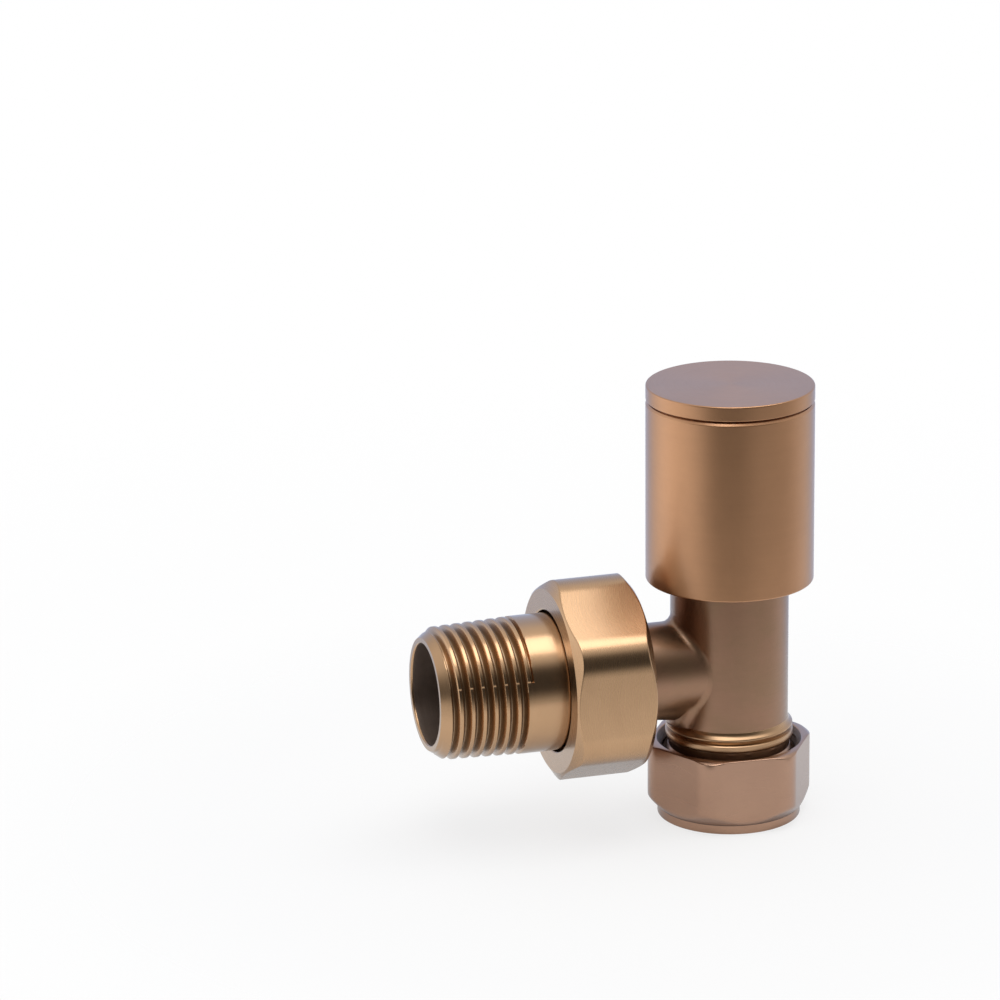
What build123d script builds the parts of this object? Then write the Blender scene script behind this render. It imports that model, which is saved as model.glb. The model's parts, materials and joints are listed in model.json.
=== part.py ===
from build123d import *
import os

# Angled radiator valve, in millimetres.
# Z runs up the pipe axis from the foot of the compression nut, and the union tail points along -X.

# Fits
pipe_radius = 7.5
pipe_clearance = 0.1
thread_clearance = 0.08
running_clearance = 0.05
seat_clearance = 0.04
ring_clearance = 0.03
press_clearance = 0.02
edge_break = 0.3
hex_corner_ratio = 2 / 3**0.5

# Compression nut and olive
compression_nut_height = 12.3
compression_nut_wall = 1.34
compression_nut_corner_radius = 4.5
compression_nut_turn = 57.0
compression_nut_floor = 2.4
compression_skirt_radius = 11.15
compression_skirt_height = 1.4
compression_skirt_bevel = 2.0
compression_top_bevel = 0.8
compression_top_bevel_width = 1.24
compression_mouth_bevel = 0.8
olive_length = 5.55
olive_thickness = 1.15

# Body, barrel side
body_radius = 9.17
body_foot = 6.4
body_top = 44.0
compression_thread_radius = 10.43
compression_thread_length = 7.5
compression_thread_depth = 0.85
compression_thread_pitch = 1.5
socket_depth = 7.6
olive_seat_height = 2.42
olive_seat_width = 1.4
inlet_radius = 5.0
bead_radius = 10.0
bead_height = 1.3
bead_crown = 0.25
bead_gap = 0.25
flare_radius = 9.8
flare_height = 2.3
seat_height = 18.2
seat_radius = 4.5
seat_lip_width = 0.8
seat_lip_height = 0.8
bonnet_wall = 2.11
bonnet_shoulder = 0.4

# Body, branch side
branch_bore_radius = 5.25
neck_radius = 7.3
neck_blend_radius = 1.45
neck_root_gap = 0.34
union_face = 24.6
union_boss_length = 7.4
union_boss_bevel = 0.8

# Union tail and nut
tail_radius = 10.64
tail_crest_drop = 0.04
tail_bore_radius = 7.85
tail_bore_depth = 12.1
tail_inner_radius = 6.2
tail_collar_lip = 1.0
tail_collar_thickness = 1.8
tail_plain_length = 5.4
tail_thread_pitch = 1.814
tail_thread_turns = 8
tail_thread_depth = 1.16
tail_thread_land = 0.36
tail_thread_taper = 1 / 32
tail_runout = 0.7
tail_runout_depth = 0.6
tail_mouth_bevel = 1.15
tail_mouth_land = 1.1
tail_lug_width = 2.0
tail_lug_height = 1.0
tail_lug_length = 5.0
tail_lug_turn = 30.0
spigot_radius = 8.5
spigot_length = 3.0
spigot_play = 1.0
union_ring_section = 0.72
union_ring_groove = 1.8
union_hole_gap = 0.38
union_thread_gap = 1.2
union_nut_wall = 1.35
union_nut_length = 12.75
union_nut_shoulder = 2.8
union_nut_corner_radius = 6.0
union_front_bevel = 1.1
union_front_bevel_width = 1.69
union_back_bevel = 1.2
union_back_bevel_width = 1.44

# Bonnet
bonnet_barrel_length = 12.0
bonnet_hex_flats = 18.0
bonnet_hex_height = 5.0
bonnet_hex_bevel = 0.7
bonnet_neck_radius = 6.2
bonnet_neck_height = 4.0
bonnet_ring_section = 0.58
bonnet_ring_pocket = 1.45

# Spindle
spindle_thread_radius = 5.0
spindle_thread_engagement = 6.2
spindle_thread_tail = 3.0
spindle_lift = 3.75
spindle_stop_gap = 0.15
spindle_radius = 4.0
spindle_shank_radius = 4.4
spindle_square = 6.2
spindle_square_height = 7.2
spindle_ring_section = 0.71
spindle_ring_groove = 1.7
spindle_ring_spacing = 3.0
spindle_ring_margin = 1.35

# Clack, the closing plate on the spindle
clack_clearance = 0.3
clack_thickness = 2.0
clack_rim_width = 0.35
clack_rim_height = 1.0
clack_washer_thickness = 2.0
clack_stem_radius = 2.4
clack_stem_length = 7.8
clack_stem_groove = 1.4
clack_stem_groove_depth = 0.65
clack_pin_radius = 0.6
clack_pin_height = 4.8
clack_screw_radius = 1.2
clack_screw_length = 5.0
clack_screw_head_radius = 2.4
clack_screw_head_height = 1.5
clack_screw_slot = 0.7

# Knob
knob_radius = 13.0
knob_wall = 1.9
knob_sleeve_length = 28.4
knob_gap = 1.0
knob_groove_height = 0.35
knob_groove_depth = 0.85
cap_thickness = 2.3
cap_plug_depth = 2.5
hub_height = 10.35
hub_ring_wall = 1.85
hub_boss_radius = 5.4
hub_boss_height = 7.6
hub_web_thickness = 2.5
hub_rib_count = 6
hub_rib_thickness = 1.4
hub_rib_height = 3.5
hub_socket_clearance = 0.05
knob_washer_radius = 4.2
knob_washer_thickness = 0.8
knob_screw_radius = 1.9
knob_screw_length = 9.0
knob_screw_head_radius = 3.6
knob_screw_head_height = 2.2
knob_screw_recess_length = 4.4
knob_screw_recess_width = 0.9
knob_screw_recess_depth = 1.2

# Radii and heights that follow from the sizes above
pipe_bore_radius = pipe_radius + pipe_clearance
pipe_stop = body_foot + socket_depth
compression_bore_radius = compression_thread_radius + thread_clearance
compression_flats = 2 * (compression_bore_radius + compression_nut_wall)
compression_rounding = compression_nut_corner_radius * (hex_corner_ratio - 1)
compression_corner = compression_flats / 2 * hex_corner_ratio - compression_rounding
compression_bevel_top = compression_skirt_height + compression_skirt_bevel
olive_foot = compression_nut_floor + edge_break
olive_top = olive_foot + olive_length
olive_end_radius = pipe_bore_radius + edge_break - seat_clearance
compression_thread_top = body_foot + compression_thread_length
thread_root_radius = compression_thread_radius - compression_thread_depth
thread_valley = compression_thread_top - compression_thread_pitch
bead_root_radius = bead_radius - bead_crown
bead_foot = compression_thread_top + bead_gap
bead_top = bead_foot + bead_height
flare_top = bead_top + flare_height
branch_height = bead_top + neck_root_gap + neck_blend_radius + neck_radius
chamber_floor = seat_height - seat_lip_height
bonnet_thread_radius = body_radius - bonnet_wall - thread_clearance
chamber_radius = bonnet_thread_radius - bonnet_shoulder
bonnet_foot = body_top - bonnet_barrel_length
bonnet_hex_top = body_top + bonnet_hex_height
bonnet_hex_corner = bonnet_hex_flats / 2 * hex_corner_ratio
bonnet_top = bonnet_hex_top + bonnet_neck_height
bonnet_ring_radius = bonnet_thread_radius + bonnet_ring_section + ring_clearance
bonnet_pocket_radius = bonnet_ring_radius + bonnet_ring_section + ring_clearance
spindle_bore_radius = spindle_radius + running_clearance
spindle_nut_radius = spindle_thread_radius + thread_clearance
spindle_shoulder = bonnet_foot + spindle_thread_engagement
spindle_stop = spindle_shoulder + spindle_lift + spindle_stop_gap
spindle_ring_radius = spindle_bore_radius - spindle_ring_section - ring_clearance
spindle_groove_radius = spindle_ring_radius - spindle_ring_section - ring_clearance
spindle_upper_ring = bonnet_top - spindle_lift - spindle_ring_margin - spindle_ring_groove / 2
spindle_lower_ring = spindle_upper_ring - spindle_ring_spacing
clack_washer_top = seat_height + clack_washer_thickness
clack_top = clack_washer_top + clack_thickness
clack_radius = chamber_radius - clack_clearance
clack_washer_radius = clack_radius - clack_rim_width - ring_clearance
spindle_foot = clack_top + running_clearance
clack_stem_top = clack_top + clack_stem_length
clack_pin_level = clack_top + clack_pin_height
clack_groove_radius = clack_stem_radius - clack_stem_groove_depth
clack_pin_offset = clack_groove_radius + clack_pin_radius + running_clearance
hub_seat = bonnet_top + knob_gap
hub_top = hub_seat + hub_height
hub_boss_top = hub_seat + hub_boss_height
spindle_top = hub_seat + spindle_square_height
knob_bore_radius = knob_radius - knob_wall
sleeve_top = hub_top + cap_plug_depth
sleeve_foot = sleeve_top - knob_sleeve_length
cap_foot = sleeve_top + knob_groove_height
cap_top = cap_foot + cap_thickness
hub_radius = knob_bore_radius - press_clearance
knob_washer_top = hub_boss_top + knob_washer_thickness
knob_screw_top = knob_washer_top + knob_screw_head_height
knob_screw_foot = knob_washer_top - knob_screw_length

# Distances out along the branch, measured from the pipe axis
boss_back = union_face - union_boss_length
union_hole_radius = tail_radius + union_hole_gap
collar_radius = union_hole_radius + tail_collar_lip
union_thread_radius = collar_radius + union_thread_gap
union_bore_radius = union_thread_radius + thread_clearance
union_flats = 2 * (union_bore_radius + union_nut_wall)
union_rounding = union_nut_corner_radius * (hex_corner_ratio - 1)
union_corner = union_flats / 2 * hex_corner_ratio - union_rounding
collar_back = union_face + seat_clearance
collar_front = collar_back + tail_collar_thickness
shoulder_back = collar_front + seat_clearance
union_front = shoulder_back + union_nut_shoulder
union_back = union_front - union_nut_length
tail_plain_end = union_front + tail_plain_length
tail_last_crest = tail_plain_end + tail_runout
tail_first_crest = tail_last_crest + (tail_thread_turns - 1) * tail_thread_pitch
tail_mouth = tail_first_crest + tail_mouth_bevel
spigot_end = collar_back - spigot_length
union_socket_end = spigot_end - spigot_play
union_groove_front = collar_back - (spigot_length - union_ring_groove) / 2
union_groove_back = union_groove_front - union_ring_groove
union_socket_radius = spigot_radius + 2 * running_clearance
union_ring_radius = union_socket_radius - union_ring_section - ring_clearance
union_groove_radius = union_ring_radius - union_ring_section - ring_clearance

# In the branch section the first coordinate runs out along -X and the second is the radius
branch_axis = Axis((0, 0, branch_height), (-1, 0, 0))
branch_section = Plane(origin=(0, 0, branch_height), x_dir=(-1, 0, 0), z_dir=(0, 1, 0))


def branch_face(distance):
    """A plane square to the branch, at a distance from the pipe axis, with its x direction up."""
    return Plane(origin=(-distance, 0, branch_height), x_dir=(0, 0, 1), z_dir=(-1, 0, 0))


def pipe_ring(ring_radius, section_radius, level):
    """A round rubber ring about the pipe axis."""
    with BuildPart() as ring:
        with BuildSketch(Plane.XZ):
            with Locations((ring_radius, level)):
                Circle(section_radius)
        revolve(axis=Axis.Z)
    return ring.part


def save(part, name):
    """Label a piece and write it to its own file."""
    part.label = name
    export_step(part, f"parts/{name}.step")


os.makedirs("parts", exist_ok=True)

# Valve body: one forging, turned inside and out
with BuildPart() as valve_body:
    with BuildSketch(Plane.XZ):
        with BuildLine():
            inlet_thread = Polyline(
                (0, body_foot),
                (thread_root_radius, body_foot),
                (compression_thread_radius, body_foot + compression_thread_depth),
                (compression_thread_radius, thread_valley - compression_thread_depth / 2),
                (thread_root_radius, thread_valley),
                (compression_thread_radius, thread_valley + compression_thread_depth / 2),
                (compression_thread_radius, compression_thread_top - compression_thread_depth / 2),
                (thread_root_radius, compression_thread_top),
                (thread_root_radius, bead_foot),
                (bead_root_radius, bead_foot),
            )
            bead = ThreePointArc(
                inlet_thread @ 1,
                (bead_radius, bead_foot + bead_height / 2),
                (bead_root_radius, bead_top),
            )
            Polyline(
                bead @ 1,
                (body_radius, bead_top),
                (body_radius, body_top),
                (0, body_top),
                inlet_thread @ 0,
            )
        make_face()
    revolve(axis=Axis.Z)
    with BuildSketch(branch_face(0)):
        Circle(neck_radius)
    extrude(amount=boss_back)
    neck_root = valve_body.edges(Select.LAST).filter_by(GeomType.CIRCLE, reverse=True)
    fillet(neck_root.filter_by(GeomType.LINE, reverse=True), radius=neck_blend_radius)
    with BuildSketch(Plane.XZ):
        with BuildLine():
            flare = TangentArc((body_radius, flare_top), (flare_radius, bead_top), tangent=(0, -1))
            Polyline(flare @ 1, (0, bead_top), (0, flare_top), flare @ 0)
        make_face()
    revolve(axis=Axis.Z)
    with BuildSketch(branch_section):
        Polygon(
            (boss_back, 0),
            (boss_back, union_thread_radius - union_boss_bevel),
            (boss_back + union_boss_bevel, union_thread_radius),
            (union_face - union_boss_bevel, union_thread_radius),
            (union_face, union_thread_radius - union_boss_bevel),
            (union_face, 0),
            align=None,
        )
    revolve(axis=branch_axis)
    with BuildSketch(Plane.XZ):
        Polygon(
            (0, body_foot),
            (pipe_bore_radius + olive_seat_width, body_foot),
            (pipe_bore_radius, body_foot + olive_seat_height),
            (pipe_bore_radius, pipe_stop),
            (inlet_radius, pipe_stop),
            (inlet_radius, chamber_floor - seat_lip_height),
            (seat_radius, chamber_floor),
            (seat_radius, seat_height),
            (seat_radius + seat_lip_width, seat_height),
            (seat_radius + seat_lip_width, chamber_floor),
            (chamber_radius, chamber_floor),
            (chamber_radius, bonnet_foot - seat_clearance),
            (bonnet_thread_radius + thread_clearance, bonnet_foot - seat_clearance),
            (bonnet_thread_radius + thread_clearance, body_top - bonnet_ring_pocket),
            (bonnet_pocket_radius, body_top - bonnet_ring_pocket),
            (bonnet_pocket_radius, body_top),
            (0, body_top),
            align=None,
        )
    revolve(axis=Axis.Z, mode=Mode.SUBTRACT)
    with BuildSketch(branch_section):
        Polygon(
            (0, 0),
            (0, branch_bore_radius),
            (union_socket_end, branch_bore_radius),
            (union_socket_end, union_socket_radius),
            (union_face - edge_break, union_socket_radius),
            (union_face, union_socket_radius + edge_break),
            (union_face, 0),
            align=None,
        )
    revolve(axis=branch_axis, mode=Mode.SUBTRACT)
save(valve_body.part, "valve_body")

# Compression nut: a rounded hexagon with a turned skirt, and a cone inside for the olive
with BuildPart() as compression_nut:
    with BuildSketch():
        RegularPolygon(compression_flats / 2, 6, major_radius=False, rotation=compression_nut_turn)
        fillet(vertices(), radius=compression_nut_corner_radius)
    extrude(amount=compression_nut_height)
    with BuildSketch(Plane.XZ):
        Polygon(
            (pipe_bore_radius, 0),
            (compression_skirt_radius, 0),
            (compression_skirt_radius, compression_skirt_height),
            (compression_corner, compression_bevel_top),
            (compression_corner, compression_nut_height - compression_top_bevel),
            (compression_corner - compression_top_bevel_width, compression_nut_height),
            (compression_bore_radius + compression_mouth_bevel, compression_nut_height),
            (compression_bore_radius, compression_nut_height - compression_mouth_bevel),
            (compression_bore_radius, compression_nut_floor + olive_thickness),
            (pipe_bore_radius + olive_thickness, compression_nut_floor + olive_thickness),
            (pipe_bore_radius, compression_nut_floor),
            align=None,
        )
    revolve(axis=Axis.Z, mode=Mode.INTERSECT)
save(compression_nut.part, "compression_nut")

# Olive: a brass ring with a cone at each end
with BuildPart() as compression_olive:
    with BuildSketch(Plane.XZ):
        Polygon(
            (pipe_bore_radius, olive_foot),
            (olive_end_radius, olive_foot),
            (pipe_bore_radius + olive_thickness, olive_foot + 2 * olive_thickness),
            (pipe_bore_radius + olive_thickness, olive_top - 2 * olive_thickness + edge_break),
            (olive_end_radius, olive_top),
            (pipe_bore_radius, olive_top),
            align=None,
        )
    revolve(axis=Axis.Z)
save(compression_olive.part, "compression_olive")

# Union tail: collar, plain land and a tapered thread shown as rings, one for each turn
tail_outline = [
    (spigot_end, tail_inner_radius),
    (spigot_end, spigot_radius),
    (union_groove_back, spigot_radius),
    (union_groove_back, union_groove_radius),
    (union_groove_front, union_groove_radius),
    (union_groove_front, spigot_radius),
    (collar_back, spigot_radius),
    (collar_back, collar_radius),
    (collar_front, collar_radius),
    (collar_front, tail_radius),
    (tail_plain_end, tail_radius),
    (tail_plain_end + tail_runout / 2, tail_radius - tail_runout_depth),
]
valley_reach = (tail_thread_pitch - tail_thread_land) / 2
for turn in range(tail_thread_turns):
    crest = tail_last_crest + turn * tail_thread_pitch
    crest_radius = tail_radius - tail_crest_drop - turn * tail_thread_pitch * tail_thread_taper
    tail_outline.append((crest - tail_thread_land / 2, crest_radius))
    tail_outline.append((crest + tail_thread_land / 2, crest_radius))
    if turn < tail_thread_turns - 1:
        tail_outline.append((crest + valley_reach, crest_radius - tail_thread_depth))
        tail_outline.append((crest + tail_thread_pitch - valley_reach, crest_radius - tail_thread_depth))
tail_outline += [
    (tail_mouth, tail_bore_radius + tail_mouth_land),
    (tail_mouth, tail_bore_radius),
    (tail_mouth - tail_bore_depth, tail_bore_radius),
    (tail_mouth - tail_bore_depth - (tail_bore_radius - tail_inner_radius), tail_inner_radius),
]
with BuildPart() as union_tail:
    with BuildSketch(branch_section):
        Polygon(*tail_outline, align=None)
    revolve(axis=branch_axis)
    with BuildSketch(branch_face(tail_mouth - tail_bore_depth)):
        with PolarLocations(tail_bore_radius - tail_lug_height / 2, 2, start_angle=tail_lug_turn + 90):
            Rectangle(tail_lug_height + edge_break, tail_lug_width)
    extrude(amount=tail_lug_length)
save(union_tail.part, "union_tail")

with BuildPart() as union_o_ring:
    with BuildSketch(branch_section):
        with Locations(((union_groove_back + union_groove_front) / 2, union_ring_radius)):
            Circle(union_ring_section)
    revolve(axis=branch_axis)
save(union_o_ring.part, "union_o_ring")

# Union nut: a rounded hexagon that draws the tail's collar against the body
with BuildPart() as union_nut:
    with BuildSketch(branch_face(union_back)):
        RegularPolygon(union_flats / 2, 6, major_radius=False)
        fillet(vertices(), radius=union_nut_corner_radius)
    extrude(amount=union_nut_length)
    with BuildSketch(branch_section):
        Polygon(
            (union_back, union_bore_radius + edge_break),
            (union_back, union_corner - union_back_bevel_width),
            (union_back + union_back_bevel, union_corner),
            (union_front - union_front_bevel, union_corner),
            (union_front, union_corner - union_front_bevel_width),
            (union_front, union_hole_radius),
            (shoulder_back, union_hole_radius),
            (shoulder_back, union_bore_radius),
            (union_back + edge_break, union_bore_radius),
            align=None,
        )
    revolve(axis=branch_axis, mode=Mode.INTERSECT)
save(union_nut.part, "union_nut")

# Bonnet: screwed into the body, with the spindle's thread and its packing bore inside
with BuildPart() as bonnet:
    with BuildSketch(Plane.XY.offset(body_top)):
        RegularPolygon(bonnet_hex_flats / 2, 6, major_radius=False)
    extrude(amount=bonnet_hex_height)
    with BuildSketch(Plane.XZ):
        Polygon(
            (0, body_top),
            (bonnet_hex_corner, body_top),
            (bonnet_hex_corner, bonnet_hex_top - bonnet_hex_bevel),
            (bonnet_hex_corner - 2 * bonnet_hex_bevel, bonnet_hex_top),
            (0, bonnet_hex_top),
            align=None,
        )
    revolve(axis=Axis.Z, mode=Mode.INTERSECT)
    with BuildSketch(Plane.XZ):
        Polygon(
            (0, bonnet_foot),
            (bonnet_thread_radius - edge_break, bonnet_foot),
            (bonnet_thread_radius, bonnet_foot + edge_break),
            (bonnet_thread_radius, body_top),
            (bonnet_neck_radius, bonnet_hex_top),
            (bonnet_neck_radius, bonnet_top - edge_break),
            (bonnet_neck_radius - edge_break, bonnet_top),
            (0, bonnet_top),
            align=None,
        )
    revolve(axis=Axis.Z)
    with BuildSketch(Plane.XZ):
        Polygon(
            (0, bonnet_foot),
            (spindle_nut_radius, bonnet_foot),
            (spindle_nut_radius, spindle_stop),
            (spindle_bore_radius, spindle_stop),
            (spindle_bore_radius, bonnet_top),
            (0, bonnet_top),
            align=None,
        )
    revolve(axis=Axis.Z, mode=Mode.SUBTRACT)
save(bonnet.part, "bonnet")

bonnet_ring_level = body_top - bonnet_ring_pocket / 2
save(pipe_ring(bonnet_ring_radius, bonnet_ring_section, bonnet_ring_level), "bonnet_o_ring")

# Spindle: thread, ring grooves and a squared end for the knob
with BuildPart() as spindle:
    groove_half = spindle_ring_groove / 2
    with BuildSketch(Plane.XZ):
        Polygon(
            (0, spindle_foot),
            (spindle_shank_radius, spindle_foot),
            (spindle_shank_radius, bonnet_foot - spindle_thread_tail),
            (spindle_thread_radius, bonnet_foot - spindle_thread_tail + edge_break),
            (spindle_thread_radius, spindle_shoulder),
            (spindle_radius, spindle_shoulder),
            (spindle_radius, spindle_lower_ring - groove_half),
            (spindle_groove_radius, spindle_lower_ring - groove_half),
            (spindle_groove_radius, spindle_lower_ring + groove_half),
            (spindle_radius, spindle_lower_ring + groove_half),
            (spindle_radius, spindle_upper_ring - groove_half),
            (spindle_groove_radius, spindle_upper_ring - groove_half),
            (spindle_groove_radius, spindle_upper_ring + groove_half),
            (spindle_radius, spindle_upper_ring + groove_half),
            (spindle_radius, hub_seat),
            (0, hub_seat),
            align=None,
        )
    revolve(axis=Axis.Z)
    with BuildSketch(Plane.XY.offset(hub_seat)):
        Rectangle(spindle_square, spindle_square)
        Circle(spindle_radius, mode=Mode.INTERSECT)
    extrude(amount=spindle_square_height)
    with BuildSketch(Plane.XY.offset(spindle_top)):
        Circle(knob_screw_radius + thread_clearance)
    extrude(amount=-(spindle_top - knob_screw_foot + edge_break), mode=Mode.SUBTRACT)
    with BuildSketch(Plane.XY.offset(spindle_foot)):
        Circle(clack_stem_radius + running_clearance)
    extrude(amount=clack_stem_top - spindle_foot + edge_break, mode=Mode.SUBTRACT)
    with BuildSketch(Plane.XZ):
        with Locations((clack_pin_offset, clack_pin_level)):
            Circle(clack_pin_radius + press_clearance)
    extrude(amount=spindle_thread_radius, both=True, mode=Mode.SUBTRACT)
save(spindle.part, "spindle")

for ring_name, ring_level in (("lower", spindle_lower_ring), ("upper", spindle_upper_ring)):
    save(pipe_ring(spindle_ring_radius, spindle_ring_section, ring_level), f"spindle_o_ring_{ring_name}")

# Clack: a plate that swivels on the spindle's end and presses a washer on the seat
with BuildPart() as clack:
    with BuildSketch(Plane.XZ):
        Polygon(
            (0, clack_washer_top),
            (clack_radius - clack_rim_width, clack_washer_top),
            (clack_radius - clack_rim_width, clack_washer_top - clack_rim_height),
            (clack_radius, clack_washer_top - clack_rim_height),
            (clack_radius, clack_top - edge_break),
            (clack_radius - edge_break, clack_top),
            (clack_stem_radius, clack_top),
            (clack_stem_radius, clack_pin_level - clack_stem_groove / 2),
            (clack_groove_radius, clack_pin_level - clack_stem_groove / 2),
            (clack_groove_radius, clack_pin_level + clack_stem_groove / 2),
            (clack_stem_radius, clack_pin_level + clack_stem_groove / 2),
            (clack_stem_radius, clack_stem_top),
            (0, clack_stem_top),
            align=None,
        )
    revolve(axis=Axis.Z)
    with BuildSketch(Plane.XY.offset(clack_washer_top)):
        Circle(clack_screw_radius + thread_clearance)
    extrude(amount=clack_screw_length - clack_washer_thickness + edge_break, mode=Mode.SUBTRACT)
save(clack.part, "clack")

with BuildPart() as clack_washer:
    with BuildSketch(Plane.XY.offset(seat_height)):
        Circle(clack_washer_radius)
        Circle(clack_screw_radius + thread_clearance, mode=Mode.SUBTRACT)
    extrude(amount=clack_washer_thickness)
save(clack_washer.part, "clack_washer")

with BuildPart() as clack_screw:
    with BuildSketch(Plane.XY.offset(seat_height - clack_screw_head_height)):
        Circle(clack_screw_head_radius)
    extrude(amount=clack_screw_head_height)
    with BuildSketch(Plane.XY.offset(seat_height)):
        Circle(clack_screw_radius)
    extrude(amount=clack_screw_length)
    with BuildSketch(Plane.XY.offset(seat_height - clack_screw_head_height)):
        Rectangle(2 * clack_screw_head_radius, clack_screw_slot)
    extrude(amount=clack_screw_slot, mode=Mode.SUBTRACT)
save(clack_screw.part, "clack_screw")

pin_reach = (spindle_shank_radius**2 - (clack_pin_offset + clack_pin_radius) ** 2) ** 0.5
with BuildPart() as clack_pin:
    with BuildSketch(Plane.XZ):
        with Locations((clack_pin_offset, clack_pin_level)):
            Circle(clack_pin_radius)
    extrude(amount=pin_reach, both=True)
save(clack_pin.part, "clack_pin")

# Knob: a brushed sleeve on a moulded hub, closed by a cap
with BuildPart() as knob_sleeve:
    with BuildSketch(Plane.XY.offset(sleeve_foot)):
        Circle(knob_radius)
        Circle(knob_bore_radius, mode=Mode.SUBTRACT)
    extrude(amount=knob_sleeve_length)
    rims = knob_sleeve.edges().filter_by(GeomType.CIRCLE).sort_by(SortBy.RADIUS)[-2:]
    chamfer(rims, length=edge_break / 2)
save(knob_sleeve.part, "knob_sleeve")

with BuildPart() as knob_hub:
    with BuildSketch(Plane.XY.offset(hub_seat)):
        Circle(hub_radius)
    extrude(amount=hub_web_thickness)
    with BuildSketch(Plane.XY.offset(hub_seat)):
        Circle(hub_radius)
        Circle(hub_radius - hub_ring_wall, mode=Mode.SUBTRACT)
    extrude(amount=hub_height)
    with BuildSketch(Plane.XY.offset(hub_seat)):
        Circle(hub_boss_radius)
    extrude(amount=hub_boss_height)
    rib_length = hub_radius - hub_ring_wall / 2 - hub_boss_radius / 2
    with BuildSketch(Plane.XY.offset(hub_seat + hub_web_thickness)):
        with PolarLocations((hub_radius - hub_ring_wall / 2 + hub_boss_radius / 2) / 2, hub_rib_count):
            Rectangle(rib_length, hub_rib_thickness)
    extrude(amount=hub_rib_height)
    with BuildSketch(Plane.XY.offset(hub_seat)):
        Rectangle(spindle_square + 2 * hub_socket_clearance, spindle_square + 2 * hub_socket_clearance)
    extrude(amount=hub_boss_height, mode=Mode.SUBTRACT)
save(knob_hub.part, "knob_hub")

with BuildPart() as knob_cap:
    with BuildSketch(Plane.XZ):
        Polygon(
            (0, cap_foot),
            (hub_radius - hub_ring_wall, cap_foot),
            (hub_radius - hub_ring_wall, hub_top),
            (hub_radius, hub_top),
            (hub_radius, sleeve_top),
            (knob_radius - knob_groove_depth, sleeve_top),
            (knob_radius - knob_groove_depth, cap_foot),
            (knob_radius, cap_foot),
            (knob_radius, cap_top),
            (0, cap_top),
            align=None,
        )
    revolve(axis=Axis.Z)
    top_rim = knob_cap.faces().sort_by(Axis.Z)[-1].edges()
    fillet(top_rim, radius=edge_break)
save(knob_cap.part, "knob_cap")

with BuildPart() as knob_washer:
    with BuildSketch(Plane.XY.offset(hub_boss_top)):
        Circle(knob_washer_radius)
        Circle(knob_screw_radius + thread_clearance, mode=Mode.SUBTRACT)
    extrude(amount=knob_washer_thickness)
save(knob_washer.part, "knob_washer")

with BuildPart() as knob_screw:
    with BuildSketch(Plane.XY.offset(knob_washer_top)):
        Circle(knob_screw_head_radius)
    extrude(amount=knob_screw_head_height)
    fillet(knob_screw.faces().sort_by(Axis.Z)[-1].edges(), radius=knob_screw_head_height / 2)
    with BuildSketch(Plane.XY.offset(knob_screw_foot)):
        Circle(knob_screw_radius)
    extrude(amount=knob_screw_length)
    with BuildSketch(Plane.XY.offset(knob_screw_top)):
        Rectangle(knob_screw_recess_length, knob_screw_recess_width)
        Rectangle(knob_screw_recess_width, knob_screw_recess_length)
    extrude(amount=-knob_screw_recess_depth, mode=Mode.SUBTRACT)
save(knob_screw.part, "knob_screw")
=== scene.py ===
import json
import math

import bmesh
import bpy
import numpy as np
from bpy.props import FloatProperty, FloatVectorProperty, PointerProperty
from bpy.types import NodeSocket, Operator, Panel, PropertyGroup
from mathutils import Matrix, Vector


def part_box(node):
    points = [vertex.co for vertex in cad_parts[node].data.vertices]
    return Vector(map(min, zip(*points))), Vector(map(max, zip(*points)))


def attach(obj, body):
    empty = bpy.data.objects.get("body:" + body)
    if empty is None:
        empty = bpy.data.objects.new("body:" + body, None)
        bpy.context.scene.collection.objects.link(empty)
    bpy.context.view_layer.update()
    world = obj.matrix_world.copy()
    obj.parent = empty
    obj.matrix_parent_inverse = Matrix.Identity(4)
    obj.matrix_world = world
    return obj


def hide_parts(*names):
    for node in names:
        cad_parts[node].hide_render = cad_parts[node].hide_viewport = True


bl_info = {
    "name": "Angled radiator valve",
    "version": (1, 0, 0),
    "blender": (4, 5, 0),
    "location": "View3D > Sidebar > Valve",
    "description": "Dresses the valve's solids with cut threads, eased edges and brushed bronze",
    "category": "Object",
}

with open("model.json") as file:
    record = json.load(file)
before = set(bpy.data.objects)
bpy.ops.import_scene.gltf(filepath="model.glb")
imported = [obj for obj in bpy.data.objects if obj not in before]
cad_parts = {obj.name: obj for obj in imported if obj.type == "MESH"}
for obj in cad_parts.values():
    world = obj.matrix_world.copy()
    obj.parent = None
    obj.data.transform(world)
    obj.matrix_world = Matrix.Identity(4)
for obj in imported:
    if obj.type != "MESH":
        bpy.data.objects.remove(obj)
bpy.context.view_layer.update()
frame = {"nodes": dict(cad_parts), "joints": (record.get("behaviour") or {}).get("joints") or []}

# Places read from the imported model
joints = {joint["name"]: joint for joint in frame["joints"]}
branch_height = joints["union_nut_turn"]["pos_m"][2]
nut_low, nut_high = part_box("union_nut")
tail_low, tail_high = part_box("union_tail")
sleeve_low, sleeve_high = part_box("knob_sleeve")
foot_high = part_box("compression_nut")[1]
cap_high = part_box("knob_cap")[1]
hub_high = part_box("knob_hub")[1]

FULL_TURN = 2 * math.pi

# Steps round a full turn
TAIL_STEPS = 216
NUT_STEPS = 288
KNOB_STEPS = 256
BODY_STEPS = 192

# Share of a thread's flank that is straight, where the rest eases into crest and root
STRAIGHT_FLANK = 0.45

# Flats of a nut's inner thread, and the distance between its rows
NUT_CREST_LAND = 0.0004
NUT_ROOT_LAND = 0.0003
NUT_THREAD_ROW = 0.00012

# Length in which a nut's inner thread fades out
NUT_THREAD_FADE = 0.0008

# Points closer than this are one, and an edge shorter than this is none
SAME_POINT = 1e-7
NO_EDGE = 1e-8

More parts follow.
